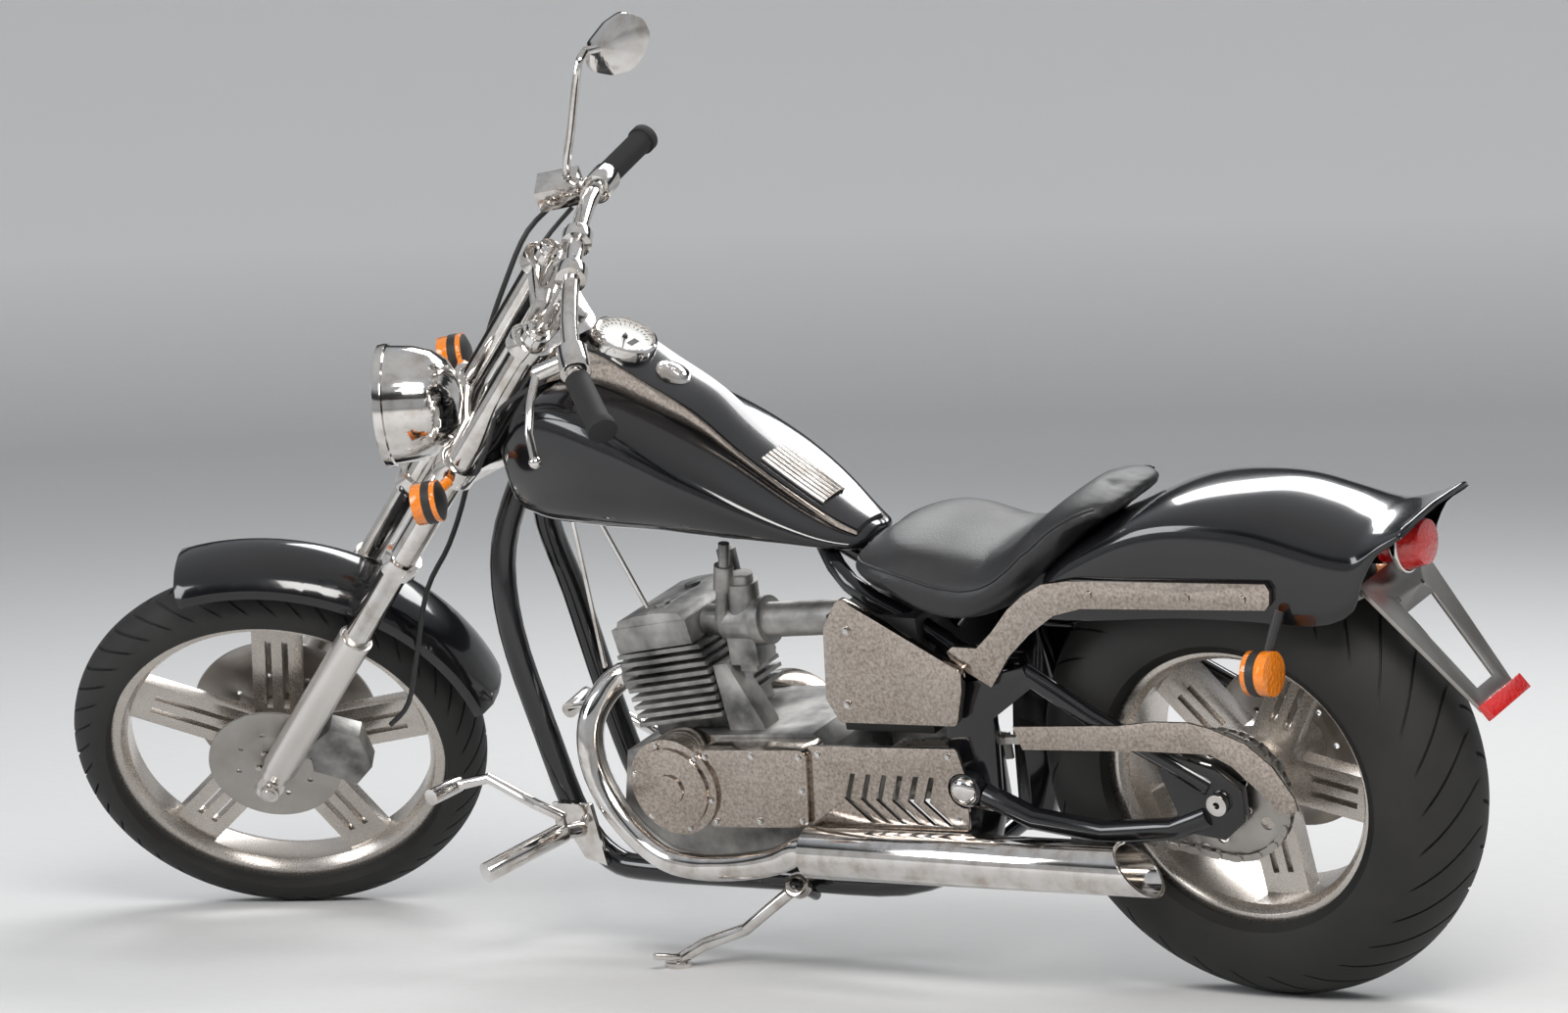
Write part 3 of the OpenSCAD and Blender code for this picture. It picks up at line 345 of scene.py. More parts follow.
def lens(name, dark, bright):
    f = Finish(name, Coat_Weight=1.0, Coat_Roughness=0.03)
    prism = f.node("ShaderNodeTexVoronoi", {"feature": "F1"}, Vector=f.coords(), Scale=150.0)
    wide = f.noise(20.0, 2.0)
    colour = f.mix(wide, dark, bright)
    return f.feed(Base_Color=colour, Roughness=0.12 + 0.1 * wide, Normal=f.bump(prism, 0.6, 0.002))


def red_lens():
    return lens("red lens", tint(0.30, 0.003, 0.004), tint(0.78, 0.015, 0.012))


def amber_lens():
    amber = bpy.context.scene.cruiser_colours.amber
    return lens("amber lens", tint(*[0.6 * c for c in amber]), tint(*amber))


def lamp_glass():
    f = Finish("lamp glass", Coat_Weight=1.0, Coat_Roughness=0.02)
    ribs = f.node("ShaderNodeTexWave", {"wave_type": "BANDS", "bands_direction": "Y"}, Vector=f.coords(), Scale=55.0)
    return f.feed(
        Base_Color=f.mix(ribs, tint(0.55, 0.58, 0.60), tint(0.86, 0.88, 0.90)), Metallic=0.6,
        Roughness=0.08 + 0.06 * ribs, Normal=f.bump(ribs, 0.5, 0.002),
    )


def mirror_glass():
    f = Finish("mirror glass")
    wide = f.noise(5.0, 2.0)
    return f.feed(
        Base_Color=f.mix(wide, tint(0.62, 0.66, 0.64), tint(0.80, 0.83, 0.82)), Metallic=1.0, Roughness=0.02 + 0.02 * wide
    )


def dial_face():
    f = Finish("dial face")
    wide = f.noise(60.0, 3.0)
    return f.feed(Base_Color=f.mix(wide, tint(0.70, 0.70, 0.68), tint(0.84, 0.84, 0.82)), Roughness=0.4 + 0.1 * wide)


def gold_anodised():
    f = Finish("brass fitting")
    wide = f.noise(80.0, 3.0)
    return f.feed(
        Base_Color=f.mix(wide, tint(0.72, 0.38, 0.08), tint(0.90, 0.58, 0.16)), Metallic=1.0, Roughness=0.22 + 0.1 * wide
    )


def signal_red():
    f = Finish("red switch")
    wide = f.noise(80.0, 3.0)
    return f.feed(Base_Color=f.mix(wide, tint(0.50, 0.01, 0.01), tint(0.75, 0.03, 0.02)), Roughness=0.35 + 0.1 * wide)


MAKERS = {
    "black_paint": gloss_black, "chrome": chrome, "plate_chrome": plate_chrome, "aluminium": cast_alloy,
    "fork_alloy": fork_alloy, "engine_metal": engine_cast, "steel": bare_steel, "rubber": tyre_rubber,
    "grip_rubber": soft_rubber, "vinyl": seat_vinyl, "black_plastic": black_plastic, "red_lens": red_lens,
    "amber_lens": amber_lens, "lamp_glass": lamp_glass, "mirror_glass": mirror_glass, "dial_face": dial_face,
    "brass": gold_anodised, "signal_red": signal_red,
}
FINISHES = {}


def finish_for(name):
    if name not in FINISHES:
        FINISHES[name] = MAKERS[name]()
    return FINISHES[name]


# ---- Mesh making ----


class Shape:
    """Points and faces gathered in a part's own frame, in metres, then made into one piece."""

    def __init__(self):
        self.points = []
        self.faces = []

    def add(self, points, faces, matrix=None):
        start = len(self.points)
        for p in points:
            self.points.append(matrix @ Vector(p) if matrix else Vector(p))
        self.faces += [tuple(start + k for k in f) for f in faces]
        return self

    def loft(self, rings, closed=True, caps=True, matrix=None):
        n = len(rings[0])
        points = [p for ring in rings for p in ring]
        faces = []
        for i in range(len(rings) - 1):
            for j in range(n if closed else n - 1):
                k = (j + 1) % n
                faces.append((i * n + j, i * n + k, (i + 1) * n + k, (i + 1) * n + j))
        if caps and closed:
            faces.append(tuple(reversed(range(n))))
            faces.append(tuple((len(rings) - 1) * n + j for j in range(n)))
        return self.add(points, faces, matrix)

    def lathe(self, profile, steps=48, matrix=None, closed=False, sweep=math.tau):
        """Profile of (radius, height) pairs turned about the local z axis."""
        n = len(profile)
        whole = abs(sweep - math.tau) < 1e-6
        count = steps if whole else steps + 1
        points = []
        for k in range(count):
            c, s = math.cos(sweep * k / steps), math.sin(sweep * k / steps)
            points += [(r * c, r * s, h) for r, h in profile]
        faces = []
        for k in range(steps):
            m = (k + 1) % count
            for j in range(n if closed else n - 1):
                q = (j + 1) % n
                faces.append((k * n + j, m * n + j, m * n + q, k * n + q))
        return self.add(points, faces, matrix)

    def rod(self, a, b, r0, r1=None, sides=20, matrix=None):
        a, b = Vector(a), Vector(b)
        turn = (b - a).to_track_quat("Z", "Y").to_matrix().to_4x4()
        turn.translation = a
        r1 = r0 if r1 is None else r1
        profile = [(0, 0), (r0, 0), (r1, (b - a).length), (0, (b - a).length)]
        return self.lathe(profile, sides, (matrix @ turn) if matrix else turn)

    def tube(self, points, r, sides=12, matrix=None):
        points = [Vector(p) for p in points]
        rings = []
        side = None
        for i, p in enumerate(points):
            along = (points[min(i + 1, len(points) - 1)] - points[max(i - 1, 0)]).normalized()
            if side is None:
                side = along.orthogonal().normalized()
            side = (side - along * side.dot(along)).normalized()
            other = along.cross(side)
            rr = r[i] if isinstance(r, (list, tuple)) else r
            rings.append([
                p + rr * (side * math.cos(math.tau * k / sides) + other * math.sin(math.tau * k / sides))
                for k in range(sides)
            ])
        return self.loft(rings, matrix=matrix)

    def block(self, low, high, matrix=None):
        (a, b, c), (d, e, f) = low, high
        points = [(a, b, c), (d, b, c), (d, e, c), (a, e, c), (a, b, f), (d, b, f), (d, e, f), (a, e, f)]
        faces = [(0, 3, 2, 1), (4, 5, 6, 7), (0, 1, 5, 4), (1, 2, 6, 5), (2, 3, 7, 6), (3, 0, 4, 7)]
        return self.add(points, faces, matrix)

    def bolt(self, at, along, r, h=None, sides=6, matrix=None):
        """Domed bolt head; sides 6 for a hexagon."""
        h = r * 0.8 if h is None else h
        turn = Vector(along).to_track_quat("Z", "Y").to_matrix().to_4x4()
        turn.translation = Vector(at)
        turn = (matrix @ turn) if matrix else turn
        self.lathe([(0, 0), (r * 1.25, 0), (r * 1.25, h * 0.25), (r, h * 0.25)], 24, turn)
        return self.lathe([(r, h * 0.2), (r, h * 0.8), (r * 0.8, h), (0, h)], sides, turn)

    def piece(self, name, finish, body, place_in=None, angle=35, bevel=0.0, subdivide=0):
        mesh = bpy.data.meshes.new(name)
        mesh.from_pydata([tuple(p) for p in self.points], [], self.faces)
        mesh.update()
        return set_up(name, mesh, finish, body, place_in, angle, bevel, subdivide)


def set_up(name, mesh, finish, body, place_in=None, angle=35, bevel=0.0, subdivide=0):
    piece = bpy.data.objects.new(name, mesh)
    bpy.context.scene.collection.objects.link(piece)
    work = bmesh.new()
    work.from_mesh(mesh)
    bmesh.ops.remove_doubles(work, verts=work.verts, dist=1e-5)
    bmesh.ops.recalc_face_normals(work, faces=work.faces)
    if place_in is not None:
        bmesh.ops.transform(work, matrix=place_in, verts=work.verts)
    work.to_mesh(mesh)
    work.free()
    if subdivide:
        add_and_apply(piece, "SUBSURF", levels=subdivide, render_levels=subdivide)
    if bevel:
        add_and_apply(piece, "BEVEL", width=bevel, segments=2, limit_method="ANGLE", angle_limit=math.radians(angle))
    piece.data.shade_smooth()
    piece.data.set_sharp_from_angle(angle=math.radians(angle))
    piece.data.materials.clear()
    piece.data.materials.append(finish_for(finish))
    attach(piece, body)
    return piece


def add_and_apply(piece, kind, **settings):
    modifier = piece.modifiers.new(kind, kind)
    for key, value in settings.items():
        setattr(modifier, key, value)
    graph = bpy.context.evaluated_depsgraph_get()
    made = bpy.data.meshes.new_from_object(piece.evaluated_get(graph))
    old = piece.data
    piece.modifiers.clear()
    piece.data = made
    bpy.data.meshes.remove(old)


def refined(node, finish, bevel=0.0012, angle=32):
    """A copy of a CAD node with welded points, eased edges and smooth shading, shown in its place while the node
    itself is hidden.
    """
    source = frame["nodes"][node]
    mesh = source.data.copy()
    mesh.name = node + "_finished"
    work = bmesh.new()
    work.from_mesh(mesh)
    bmesh.ops.remove_doubles(work, verts=work.verts, dist=2e-5)
    bmesh.ops.dissolve_limit(work, angle_limit=math.radians(0.6), verts=work.verts, edges=work.edges)
    bmesh.ops.triangulate(work, faces=[f for f in work.faces if len(f.verts) > 40])
    work.to_mesh(mesh)
    work.free()
    for name in ("custom_normal",):
        if name in mesh.attributes:
            mesh.attributes.remove(mesh.attributes[name])
    piece = set_up(node + "_finished", mesh, finish, source["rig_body"], angle=angle, bevel=bevel)
    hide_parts(node)
    return piece


def smooth_path(points, steps=6):
    """Catmull-Rom curve through the points."""
    p = [Vector(q) for q in points]
    out = []
    for i in range(len(p) - 1):
        a, b, c, d = p[max(i - 1, 0)], p[i], p[i + 1], p[min(i + 2, len(p) - 1)]
        for k in range(steps):
            t = k / steps
            out.append(0.5 * (
                2 * b + (c - a) * t + (2 * a - 5 * b + 4 * c - d) * t * t + (3 * b - a - 3 * c + d) * t ** 3
            ))
    out.append(p[-1])
    return out


def mm(*values):
    return tuple(v * 0.001 for v in values)


# ---- Body work ----

TANK = (
    (556, 640, 650, 656, 662, 50, 32, 664), (600, 648, 668, 674, 680, 78, 38, 688),
    (660, 660, 708, 712, 722, 109, 42, 730), (730, 668, 754, 762, 772, 130, 43, 784),
    (800, 674, 790, 812, 822, 140, 46, 848), (870, 676, 822, 850, 860, 140, 50, 892),
    (940, 678, 848, 882, 892, 139, 52, 934), (1000, 680, 864, 892, 898, 132, 52, 938),
    (1060, 684, 862, 876, 882, 120, 50, 920), (1110, 704, 836, 848, 852, 104, 46, 876),
)
SEAT = (
    (551, 644, 660, 85), (515, 626, 674, 136), (449, 594, 671, 155), (391, 570, 657, 158), (335, 570, 648, 155),
    (295, 590, 662, 150), (255, 622, 690, 143), (205, 664, 726, 130), (160, 702, 743, 108), (128, 714, 733, 78),
)
FENDER = (
    (245, 640, 618, 575, 108), (201, 672, 645, 575, 115), (123, 708, 684, 580, 120), (66, 730, 700, 584, 120),
    (0, 741, 706, 586, 120), (-90, 741, 696, 584, 120), (-153, 726, 679, 580, 120), (-205, 711, 665, 584, 119),
    (-240, 706, 660, 602, 116), (-256, 706, 668, 640, 114), (-278, 707, 686, 674, 110),
    (-302, 712, 699, 690, 106), (-322, 719, 709, 702, 101),
)


def stations(rows, steps):
    """Rows of numbers joined by a smooth curve through each column."""
    out = []
    for i in range(len(rows) - 1):
        a, b, c, d = rows[max(i - 1, 0)], rows[i], rows[i + 1], rows[min(i + 2, len(rows) - 1)]
        for k in range(steps):
            t = k / steps
            out.append([
                0.5 * (2 * q + (r - p) * t + (2 * p - 5 * q + 4 * r - s) * t * t + (3 * q - p - 3 * r + s) * t ** 3)
                for p, q, r, s in zip(a, b, c, d)
            ])
    out.append(list(rows[-1]))
    return out


def tank_ring(row):
    x, bottom, crease, edge, crown, w, d, _ = row
    half = [
        (w * 0.55, bottom), (w * 0.90, bottom + (crease - bottom) * 0.1), (w, bottom + (crease - bottom) * 0.55),
        (w * 0.99, crease), ((w + d) * 0.54, crease * 0.42 + edge * 0.58), (d, edge), (d * 0.6, edge * 0.35 + crown * 0.65),
        (d * 0.2, crown),
    ]
    return [mm(x, -y, z) for y, z in half] + [mm(x, y, z) for y, z in reversed(half)]


def build_tank():
    shape = Shape().loft([tank_ring(r) for r in stations(TANK, 2)])
    piece = shape.piece("tank_shell", "black_paint", "chassis", angle=50, subdivide=2)
    work = bmesh.new()
    work.from_mesh(piece.data)
    ahead, up = Vector((math.cos(RAKE), 0, math.sin(RAKE))), Vector((-math.sin(RAKE), 0, math.cos(RAKE)))
    foot = Vector(mm(1641.5, 0, 275.8))
    cut = bmesh.ops.bisect_plane(
        work, geom=work.verts[:] + work.edges[:] + work.faces[:], plane_co=foot - 0.046 * ahead, plane_no=ahead,
        clear_outer=True,
    )
    rim = [e for e in cut["geom_cut"] if isinstance(e, bmesh.types.BMEdge)]
    bmesh.ops.holes_fill(work, edges=rim)
    bmesh.ops.transform(work, matrix=BIKE, verts=work.verts)
    work.to_mesh(piece.data)
    work.free()
    piece.data.shade_smooth()
    piece.data.set_sharp_from_angle(angle=math.radians(50))
    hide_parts("fuel_tank")


RAKE = math.acos(max(-1.0, min(1.0, UP.dot(STEM_AXIS))))


def console_top(row, share):
    """Point on the raised dash: share from -1 at the right edge to 1 at the left edge."""
    x, _, _, _, _, _, d, top = row
    return mm(x, d * share, top + 3 * math.cos(share * math.pi / 2) ** 0.8 - 0.5)


def build_dash():
    rows = stations(TANK, 6)[2:49]
    shares = [-1 + 2 * k / 20 for k in range(21)]
    shape = Shape()
    shape.loft([
        [mm(r[0], -r[6] + 2.5, r[3] + 1)] + [mm(r[0], -r[6] + 0.8, r[7] - 4)]
        + [console_top(r, k * 0.985) for k in shares]
        + [mm(r[0], r[6] - 0.8, r[7] - 4)] + [mm(r[0], r[6] - 2.5, r[3] + 1)]
        for r in rows
    ])
    dash = shape.piece("dash_cover", "black_paint", "chassis", BIKE, angle=40)
    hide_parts("tank_dash")
    trim = Shape()
    for side in (-1, 1):
        rings = []
        for r in rows:
            x, foot, y, top = r[0], r[3] + 0.6, r[6], r[7]
            tall = max(top - 3.5 - foot, 2.0)
            rings.append([
                mm(x, side * (y - 2.6), foot), mm(x, side * (y + 1.4), foot), mm(x, side * (y + 2.6), foot + tall * 0.18),
                mm(x, side * (y + 2.2), foot + tall * 0.55), mm(x, side * (y + 1.6), foot + tall * 0.9),
                mm(x, side * (y + 0.4), foot + tall), mm(x, side * (y - 2.6), foot + tall),
            ])
        trim.loft(rings)
    trim.piece("dash_side_trim", "plate_chrome", "chassis", BIKE, angle=40)


def gauge_matrix():
    return BIKE @ Matrix.Translation(mm(932, 0, 921)) @ Matrix.Rotation(math.radians(-30), 4, "Y")


def build_speedometer():
    at = gauge_matrix()
    bezel = Shape().lathe(
        [(0.048, 0), (0.048, 0.018), (0.0465, 0.0235), (0.043, 0.0255), (0.039, 0.024), (0.0385, 0.019), (0.0385, 0.0)], 64, at
    )
    piece = bezel.piece("speedometer_bezel", "chrome", "chassis", angle=30)
    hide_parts("speedometer")
    face = Shape().lathe([(0, 0.0185), (0.0385, 0.0185), (0.0385, 0.015)], 64, at)
    face.piece("speedometer_face", "dial_face", "chassis")
    marks = Shape()
    for k in range(25):
        turn = Matrix.Rotation(math.radians(-135 + 270 * k / 24), 4, "Z")
        length = 0.006 if k % 4 == 0 else 0.0035
        marks.block((0.0362 - length, -0.0006, 0.0185), (0.0362, 0.0006, 0.0191), at @ turn)
    needle = Matrix.Rotation(math.radians(118), 4, "Z")
    marks.loft([
        [(-0.009, -0.0014, 0.0196), (-0.009, 0.0014, 0.0196), (-0.009, 0.0014, 0.0206), (-0.009, -0.0014, 0.0206)],
        [(0.030, -0.0005, 0.0196), (0.030, 0.0005, 0.0196), (0.030, 0.0005, 0.0206), (0.030, -0.0005, 0.0206)],
    ], matrix=at @ needle)
    marks.lathe([(0, 0.0235), (0.003, 0.023), (0.0042, 0.019)], 24, at)
    marks.block((-0.019, -0.010, 0.0185), (-0.010, 0.010, 0.0189), at)
    marks.piece("speedometer_marks", "black_plastic", "chassis")


def build_filler_cap():
    at = BIKE @ Matrix.Translation(mm(856, 0, 877)) @ Matrix.Rotation(math.radians(-33), 4, "Y")
    lid = Shape().lathe([
        (0, 0.0165), (0.012, 0.0165), (0.019, 0.0145), (0.021, 0.0125), (0.0245, 0.0115), (0.026, 0.0095), (0.026, 0)
    ], 64, at)
    piece = lid.piece("filler_lid", "chrome", "chassis", angle=30)
    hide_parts("filler_cap")
    lock = Shape().block((-0.012, -0.006, 0.0160), (0.012, 0.006, 0.0195), at)
    lock.lathe([(0, 0.021), (0.006, 0.0205), (0.007, 0.016)], 32, at)
    lock.piece("filler_key_plate", "chrome", "chassis", bevel=0.001)


def build_ribs():
    ribs = Shape()
    rows = stations(TANK, 6)[8:17]
    for k in range(-3, 4):
        ribs.tube([Vector(console_top(r, k * 0.22)) + Vector((0, 0, 0.0036)) for r in rows], bpy.context.scene.cruiser_sizes.rib, 10)
    piece = ribs.piece("dash_ribs", "chrome", "chassis", BIKE, angle=60)
    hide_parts("tank_grille")


def fender_line(row, inset):
    x, crown, crease, bottom, w = row
    w -= inset
    mid = crown * 0.55 + crease * 0.45 - inset
    left = [(w, bottom), (w + 2, crease - inset * 0.3), (w * 0.86, mid), (w * 0.5, crown - 4 - inset)]
    return [mm(x, -y, z) for y, z in left] + [mm(x, 0, crown - inset)] + [mm(x, y, z) for y, z in reversed(left)]


def build_rear_fender():
    rows = stations(FENDER, 2)
    shape = Shape().loft([fender_line(r, 0) + fender_line(r, 4)[::-1] for r in rows])
    work_piece = shape.piece("rear_fender_sheet", "black_paint", "chassis", BIKE, angle=60)
    mesh = work_piece.data
    crease = mesh.attributes.new("crease_edge", "FLOAT", "EDGE")
    n = 18
    hard = {0, 8, 9, 17}
    for e in mesh.edges:
        a, b = e.vertices[0] % n, e.vertices[1] % n
        if a in hard and b in hard:
            crease.data[e.index].value = 0.9
    add_and_apply(work_piece, "SUBSURF", levels=2, render_levels=2)
    work_piece.data.shade_smooth()
    work_piece.data.set_sharp_from_angle(angle=math.radians(60))
    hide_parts("rear_fender")


def seat_ring(row):
    x, b, t, w = row
    h = t - b
    half = [(w * 0.8, b), (w, b + h * 0.2), (w, b + h * 0.6), (w * 0.86, t - h * 0.1), (w * 0.5, t)]
    return [mm(x, -y, z) for y, z in half] + [mm(x, 0, t + 1)] + [mm(x, y, z) for y, z in reversed(half)]


def build_seat():
    rows = stations(SEAT, 2)
    shape = Shape().loft([seat_ring(r) for r in rows])
    pad = shape.piece("seat_pad", "vinyl", "chassis", BIKE, angle=180)
    swell(pad)
    pad.data.shade_smooth()
    pad.data.materials.clear()
    pad.data.materials.append(finish_for("vinyl"))
    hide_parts("seat")
    skin = BVHTree.FromPolygons([v.co for v in pad.data.vertices], [f.vertices for f in pad.data.polygons])
    seam = Shape()
    for side in (-1, 1):
        line = []
        for x, b, t, w in stations(SEAT, 4)[2:-2]:
            at, normal, _, _ = skin.find_nearest(BIKE @ Vector(mm(x, side * w, t - (t - b) * 0.16)))
            line.append(at + 0.0006 * normal)
        seam.tube(line, bpy.context.scene.cruiser_sizes.piping, 8)
    seam.piece("seat_piping", "vinyl", "chassis", angle=60)


def swell(pad):
    """Foam under a tight cover: a short cloth run with pressure, capped, then applied."""
    scene = bpy.context.scene
    add_and_apply(pad, "SUBSURF", levels=2, render_levels=2)
    shrink = pad.modifiers.new("inset", "DISPLACE")
    shrink.strength = -0.003
    shrink.mid_level = 0.0
    add_and_apply_existing(pad)
    remesh = pad.modifiers.new("even", "REMESH")
    remesh.mode = "VOXEL"
    remesh.voxel_size = 0.006
    add_and_apply_existing(pad)
    start = np.array([v.co for v in pad.data.vertices], float)
    cloth = pad.modifiers.new("foam", "CLOTH")
    cloth.settings.use_pressure = True
    cloth.settings.uniform_pressure_force = 4.0
    cloth.settings.effector_weights.gravity = 0.0
    cloth.settings.tension_stiffness = 30
    cloth.settings.bending_stiffness = 1.5
    cloth.collision_settings.use_self_collision = False
    cloth.point_cache.frame_start = 1
    cloth.point_cache.frame_end = 20
    for f in range(1, 21):
        scene.frame_set(f)
    add_and_apply_existing(pad)
    scene.frame_set(1)
    moved = np.array([v.co for v in pad.data.vertices], float)
    step = moved - start
    length = np.linalg.norm(step, axis=1, keepdims=True)
    step *= np.minimum(1.0, scene.cruiser_sizes.seat_swell / np.maximum(length, 1e-9))
    final = start + step
    pad.data.vertices.foreach_set("co", final.astype(np.float32).ravel())
    pad.data.update()
    smooth = pad.modifiers.new("settle", "SMOOTH")
    smooth.factor = 0.5
    smooth.iterations = 3
    add_and_apply_existing(pad)
    add_and_apply(pad, "SUBSURF", levels=1, render_levels=1)


def add_and_apply_existing(piece):
    graph = bpy.context.evaluated_depsgraph_get()
    made = bpy.data.meshes.new_from_object(piece.evaluated_get(graph))
    old = piece.data
    piece.modifiers.clear()
    piece.data = made
    bpy.data.meshes.remove(old)


# ---- Wheels ----


def tyre_shape(r, w, rim_r, rim_w, periods, slant, depth, reach):
    """Tyre whose shoulder grooves run along its own mesh columns."""
    half = w / 2
    limit = math.acos((rim_r + 2 - (r - half)) / half)
    across = [-limit + 2 * limit * k / 40 for k in range(41)]
    g, e = 0.0042 * 326 / r * 1.9, 0.0016
    period = math.tau / periods
    offsets = []
    for base, side in ((0.0, 1), (period / 2, -1)):
        offsets += [(base - g - e, 0), (base - g, side), (base + g, side), (base + g + e, 0)]
        for k in range(1, 4):
            offsets.append((base + g + e + (period / 2 - 2 * g - 2 * e) * k / 4, 0))
    points, count = [], len(offsets) * periods
    seat_r = rim_r - 10
    for k in range(periods):
        for offset, groove in offsets:
            ring = [(seat_r, -rim_w / 2 + 4, 0.0), (rim_r + 1, -rim_w / 2 - 3, 0.0)]
            for a in across:
                cut = 0.0
                if groove and a * groove > -0.06:
                    reach_in = min(1.0, max(0.0, (reach - abs(a)) / 0.10))
                    start_in = min(1.0, max(0.0, (a * groove - 0.05) / 0.06))
                    cut = depth * reach_in * start_in
                ring.append((r - half + (half - cut) * math.cos(a), (half - cut) * math.sin(a), slant * abs(a) ** 1.4))
            ring += [(rim_r + 1, rim_w / 2 + 3, 0.0), (seat_r, rim_w / 2 - 4, 0.0)]
            for radius, y, lag in ring:
                angle = k * period + offset + lag
                points.append((radius * math.cos(angle) / 1000, y / 1000, radius * math.sin(angle) / 1000))
    n = len(across) + 4
    faces = []
    for k in range(count):
        m = (k + 1) % count
        for j in range(n - 1):
            faces.append((k * n + j, m * n + j, m * n + j + 1, k * n + j + 1))
    return Shape().add(points, faces)


def build_tyres():
    front = tyre_shape(312.6, 104, 256, 66, 44, 0.16, 4.0, 1.15)
    piece = front.piece("front_tyre_tread", "rubber", "front_wheel", FRONT_HUB, angle=40)
    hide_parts("front_tyre")
    rear = tyre_shape(325.6, 180, 205.5, 138, 30, 0.26, 5.5, 1.10)
    piece = rear.piece("rear_tyre_tread", "rubber", "rear_wheel", REAR_HUB, angle=40)
    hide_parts("rear_tyre")


def build_rims():
    refined("front_rim", "aluminium", 0.0015, 28)
    refined("rear_rim", "aluminium", 0.0015, 28)
    refined("front_discs", "steel", 0.0006, 28)
    refined("rear_disc", "steel", 0.0006, 28)
    refined("rear_sprocket", "steel", 0.0008, 28)
    for name, hub, body, rows in (
        ("front_wheel_bolts", FRONT_HUB, "front_wheel", ((0.061, 5, 0.026, 1), (-0.061, 5, 0.028, -1))),
        ("rear_wheel_bolts", REAR_HUB, "rear_wheel", ((0.1008, 5, 0.034, 1), (-0.089, 5, 0.034, -1))),
    ):
        bolts = Shape()
        for y, count, radius, side in rows:
            for k in range(count):
                a = math.tau * k / count
                bolts.bolt((radius * math.cos(a), y, radius * math.sin(a)), (0, side, 0), 0.005, matrix=hub)
        bolts.piece(name, "chrome", body, angle=30)
    teeth = Shape()
    for k in range(34):
        a = math.tau * k / 34
        turn = REAR_HUB @ Matrix.Rotation(a, 4, "Y")
        teeth.loft([
            [(0.084, 0.0982, -0.0055), (0.084, 0.0982, 0.0055), (0.084, 0.1028, 0.0055), (0.084, 0.1028, -0.0055)],
            [(0.0925, 0.0992, -0.0018), (0.0925, 0.0992, 0.0018), (0.0925, 0.1018, 0.0018), (0.0925, 0.1018, -0.0018)],
        ], matrix=turn)
    teeth.piece("sprocket_teeth", "steel", "rear_wheel", angle=30)


def build_chain():
    pitch = 0.0159
    rear, front = (0.0, 0.326, 0.0905), (0.5, 0.345, 0.0345)
    gap = math.hypot(front[0] - rear[0], front[1] - rear[1])
    lean = math.atan2(front[1] - rear[1], front[0] - rear[0])
    spread = math.asin((rear[2] - front[2]) / gap)
    line = []

    def arc(centre, radius, a0, a1):
        steps = 40
        for k in range(steps + 1):
            a = a0 + (a1 - a0) * k / steps
            line.append(Vector((centre[0] + radius * math.cos(a), centre[1] + radius * math.sin(a))))

    top = lean + math.pi / 2 - spread
    low = lean - math.pi / 2 + spread
    arc(rear, rear[2], top, low + math.tau)
    arc(front, front[2], low, top)
    line.append(line[0])
    lengths = [0.0]
    for a, b in zip(line, line[1:]):
        lengths.append(lengths[-1] + (b - a).length)
    count = 2 * round(lengths[-1] / pitch / 2)
    spots = []
    at = 0
    for k in range(count):
        want = lengths[-1] * k / count
        while lengths[at + 1] < want:
            at += 1
        share = (want - lengths[at]) / max(1e-9, lengths[at + 1] - lengths[at])
        spots.append(line[at].lerp(line[at + 1], share))
    links = Shape()
    y0 = 0.1005
    for k, p in enumerate(spots):
        q = spots[(k + 1) % count]
        along = (q - p).normalized()
        wide = 0.0052 if k % 2 else 0.0072
        turn = place(Vector((along.x, 0, along.y)), Vector((0, 1, 0)), Vector((along.x, 0, along.y)).cross(Vector((0, 1, 0))), Vector((p.x, y0, p.y)))
        d = (q - p).length
        for side in (-1, 1):
            outline = []
            for j in range(12):
                a = math.tau * j / 12
                outline.append((d / 2 + (d / 2 + 0.001) * math.cos(a) * 1.25, 0.0062 * math.sin(a) * (0.8 + 0.2 * abs(math.cos(a)))))
            y = side * wide
            links.loft([[(x, y - 0.0008, z) for x, z in outline], [(x, y + 0.0008, z) for x, z in outline]], matrix=BIKE @ turn)
        links.rod((0, -0.0085, 0), (0, 0.0085, 0), 0.0026, sides=8, matrix=BIKE @ turn)
    piece = links.piece("drive_chain_links", "steel", "chassis", angle=30)
    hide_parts("chain")


# ---- Lamps ----


def build_headlight():
    at = STEERED @ Matrix.Translation(mm(1268, 0, 872)) @ Matrix.Rotation(math.radians(82), 4, "Y") @ Matrix.Translation((0, 0, -0.06))
    refined("headlight", "chrome", 0.0008, 30)
    ring = Shape().lathe([
        (0.0862, 0.098), (0.0888, 0.100), (0.0895, 0.104), (0.0888, 0.111), (0.086, 0.1135), (0.081, 0.1125), (0.0795, 0.109),
        (0.0795, 0.104),
    ], 96, at)
    ring.piece("headlight_rim", "chrome", "steering", angle=40)
    glass = Shape().lathe([(0.0798, 0.098), (0.0798, 0.107), (0.060, 0.112), (0.030, 0.115), (0, 0.116)], 96, at)
    piece = glass.piece("headlight_glass", "lamp_glass", "steering", angle=40)
    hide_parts("headlight_lens")


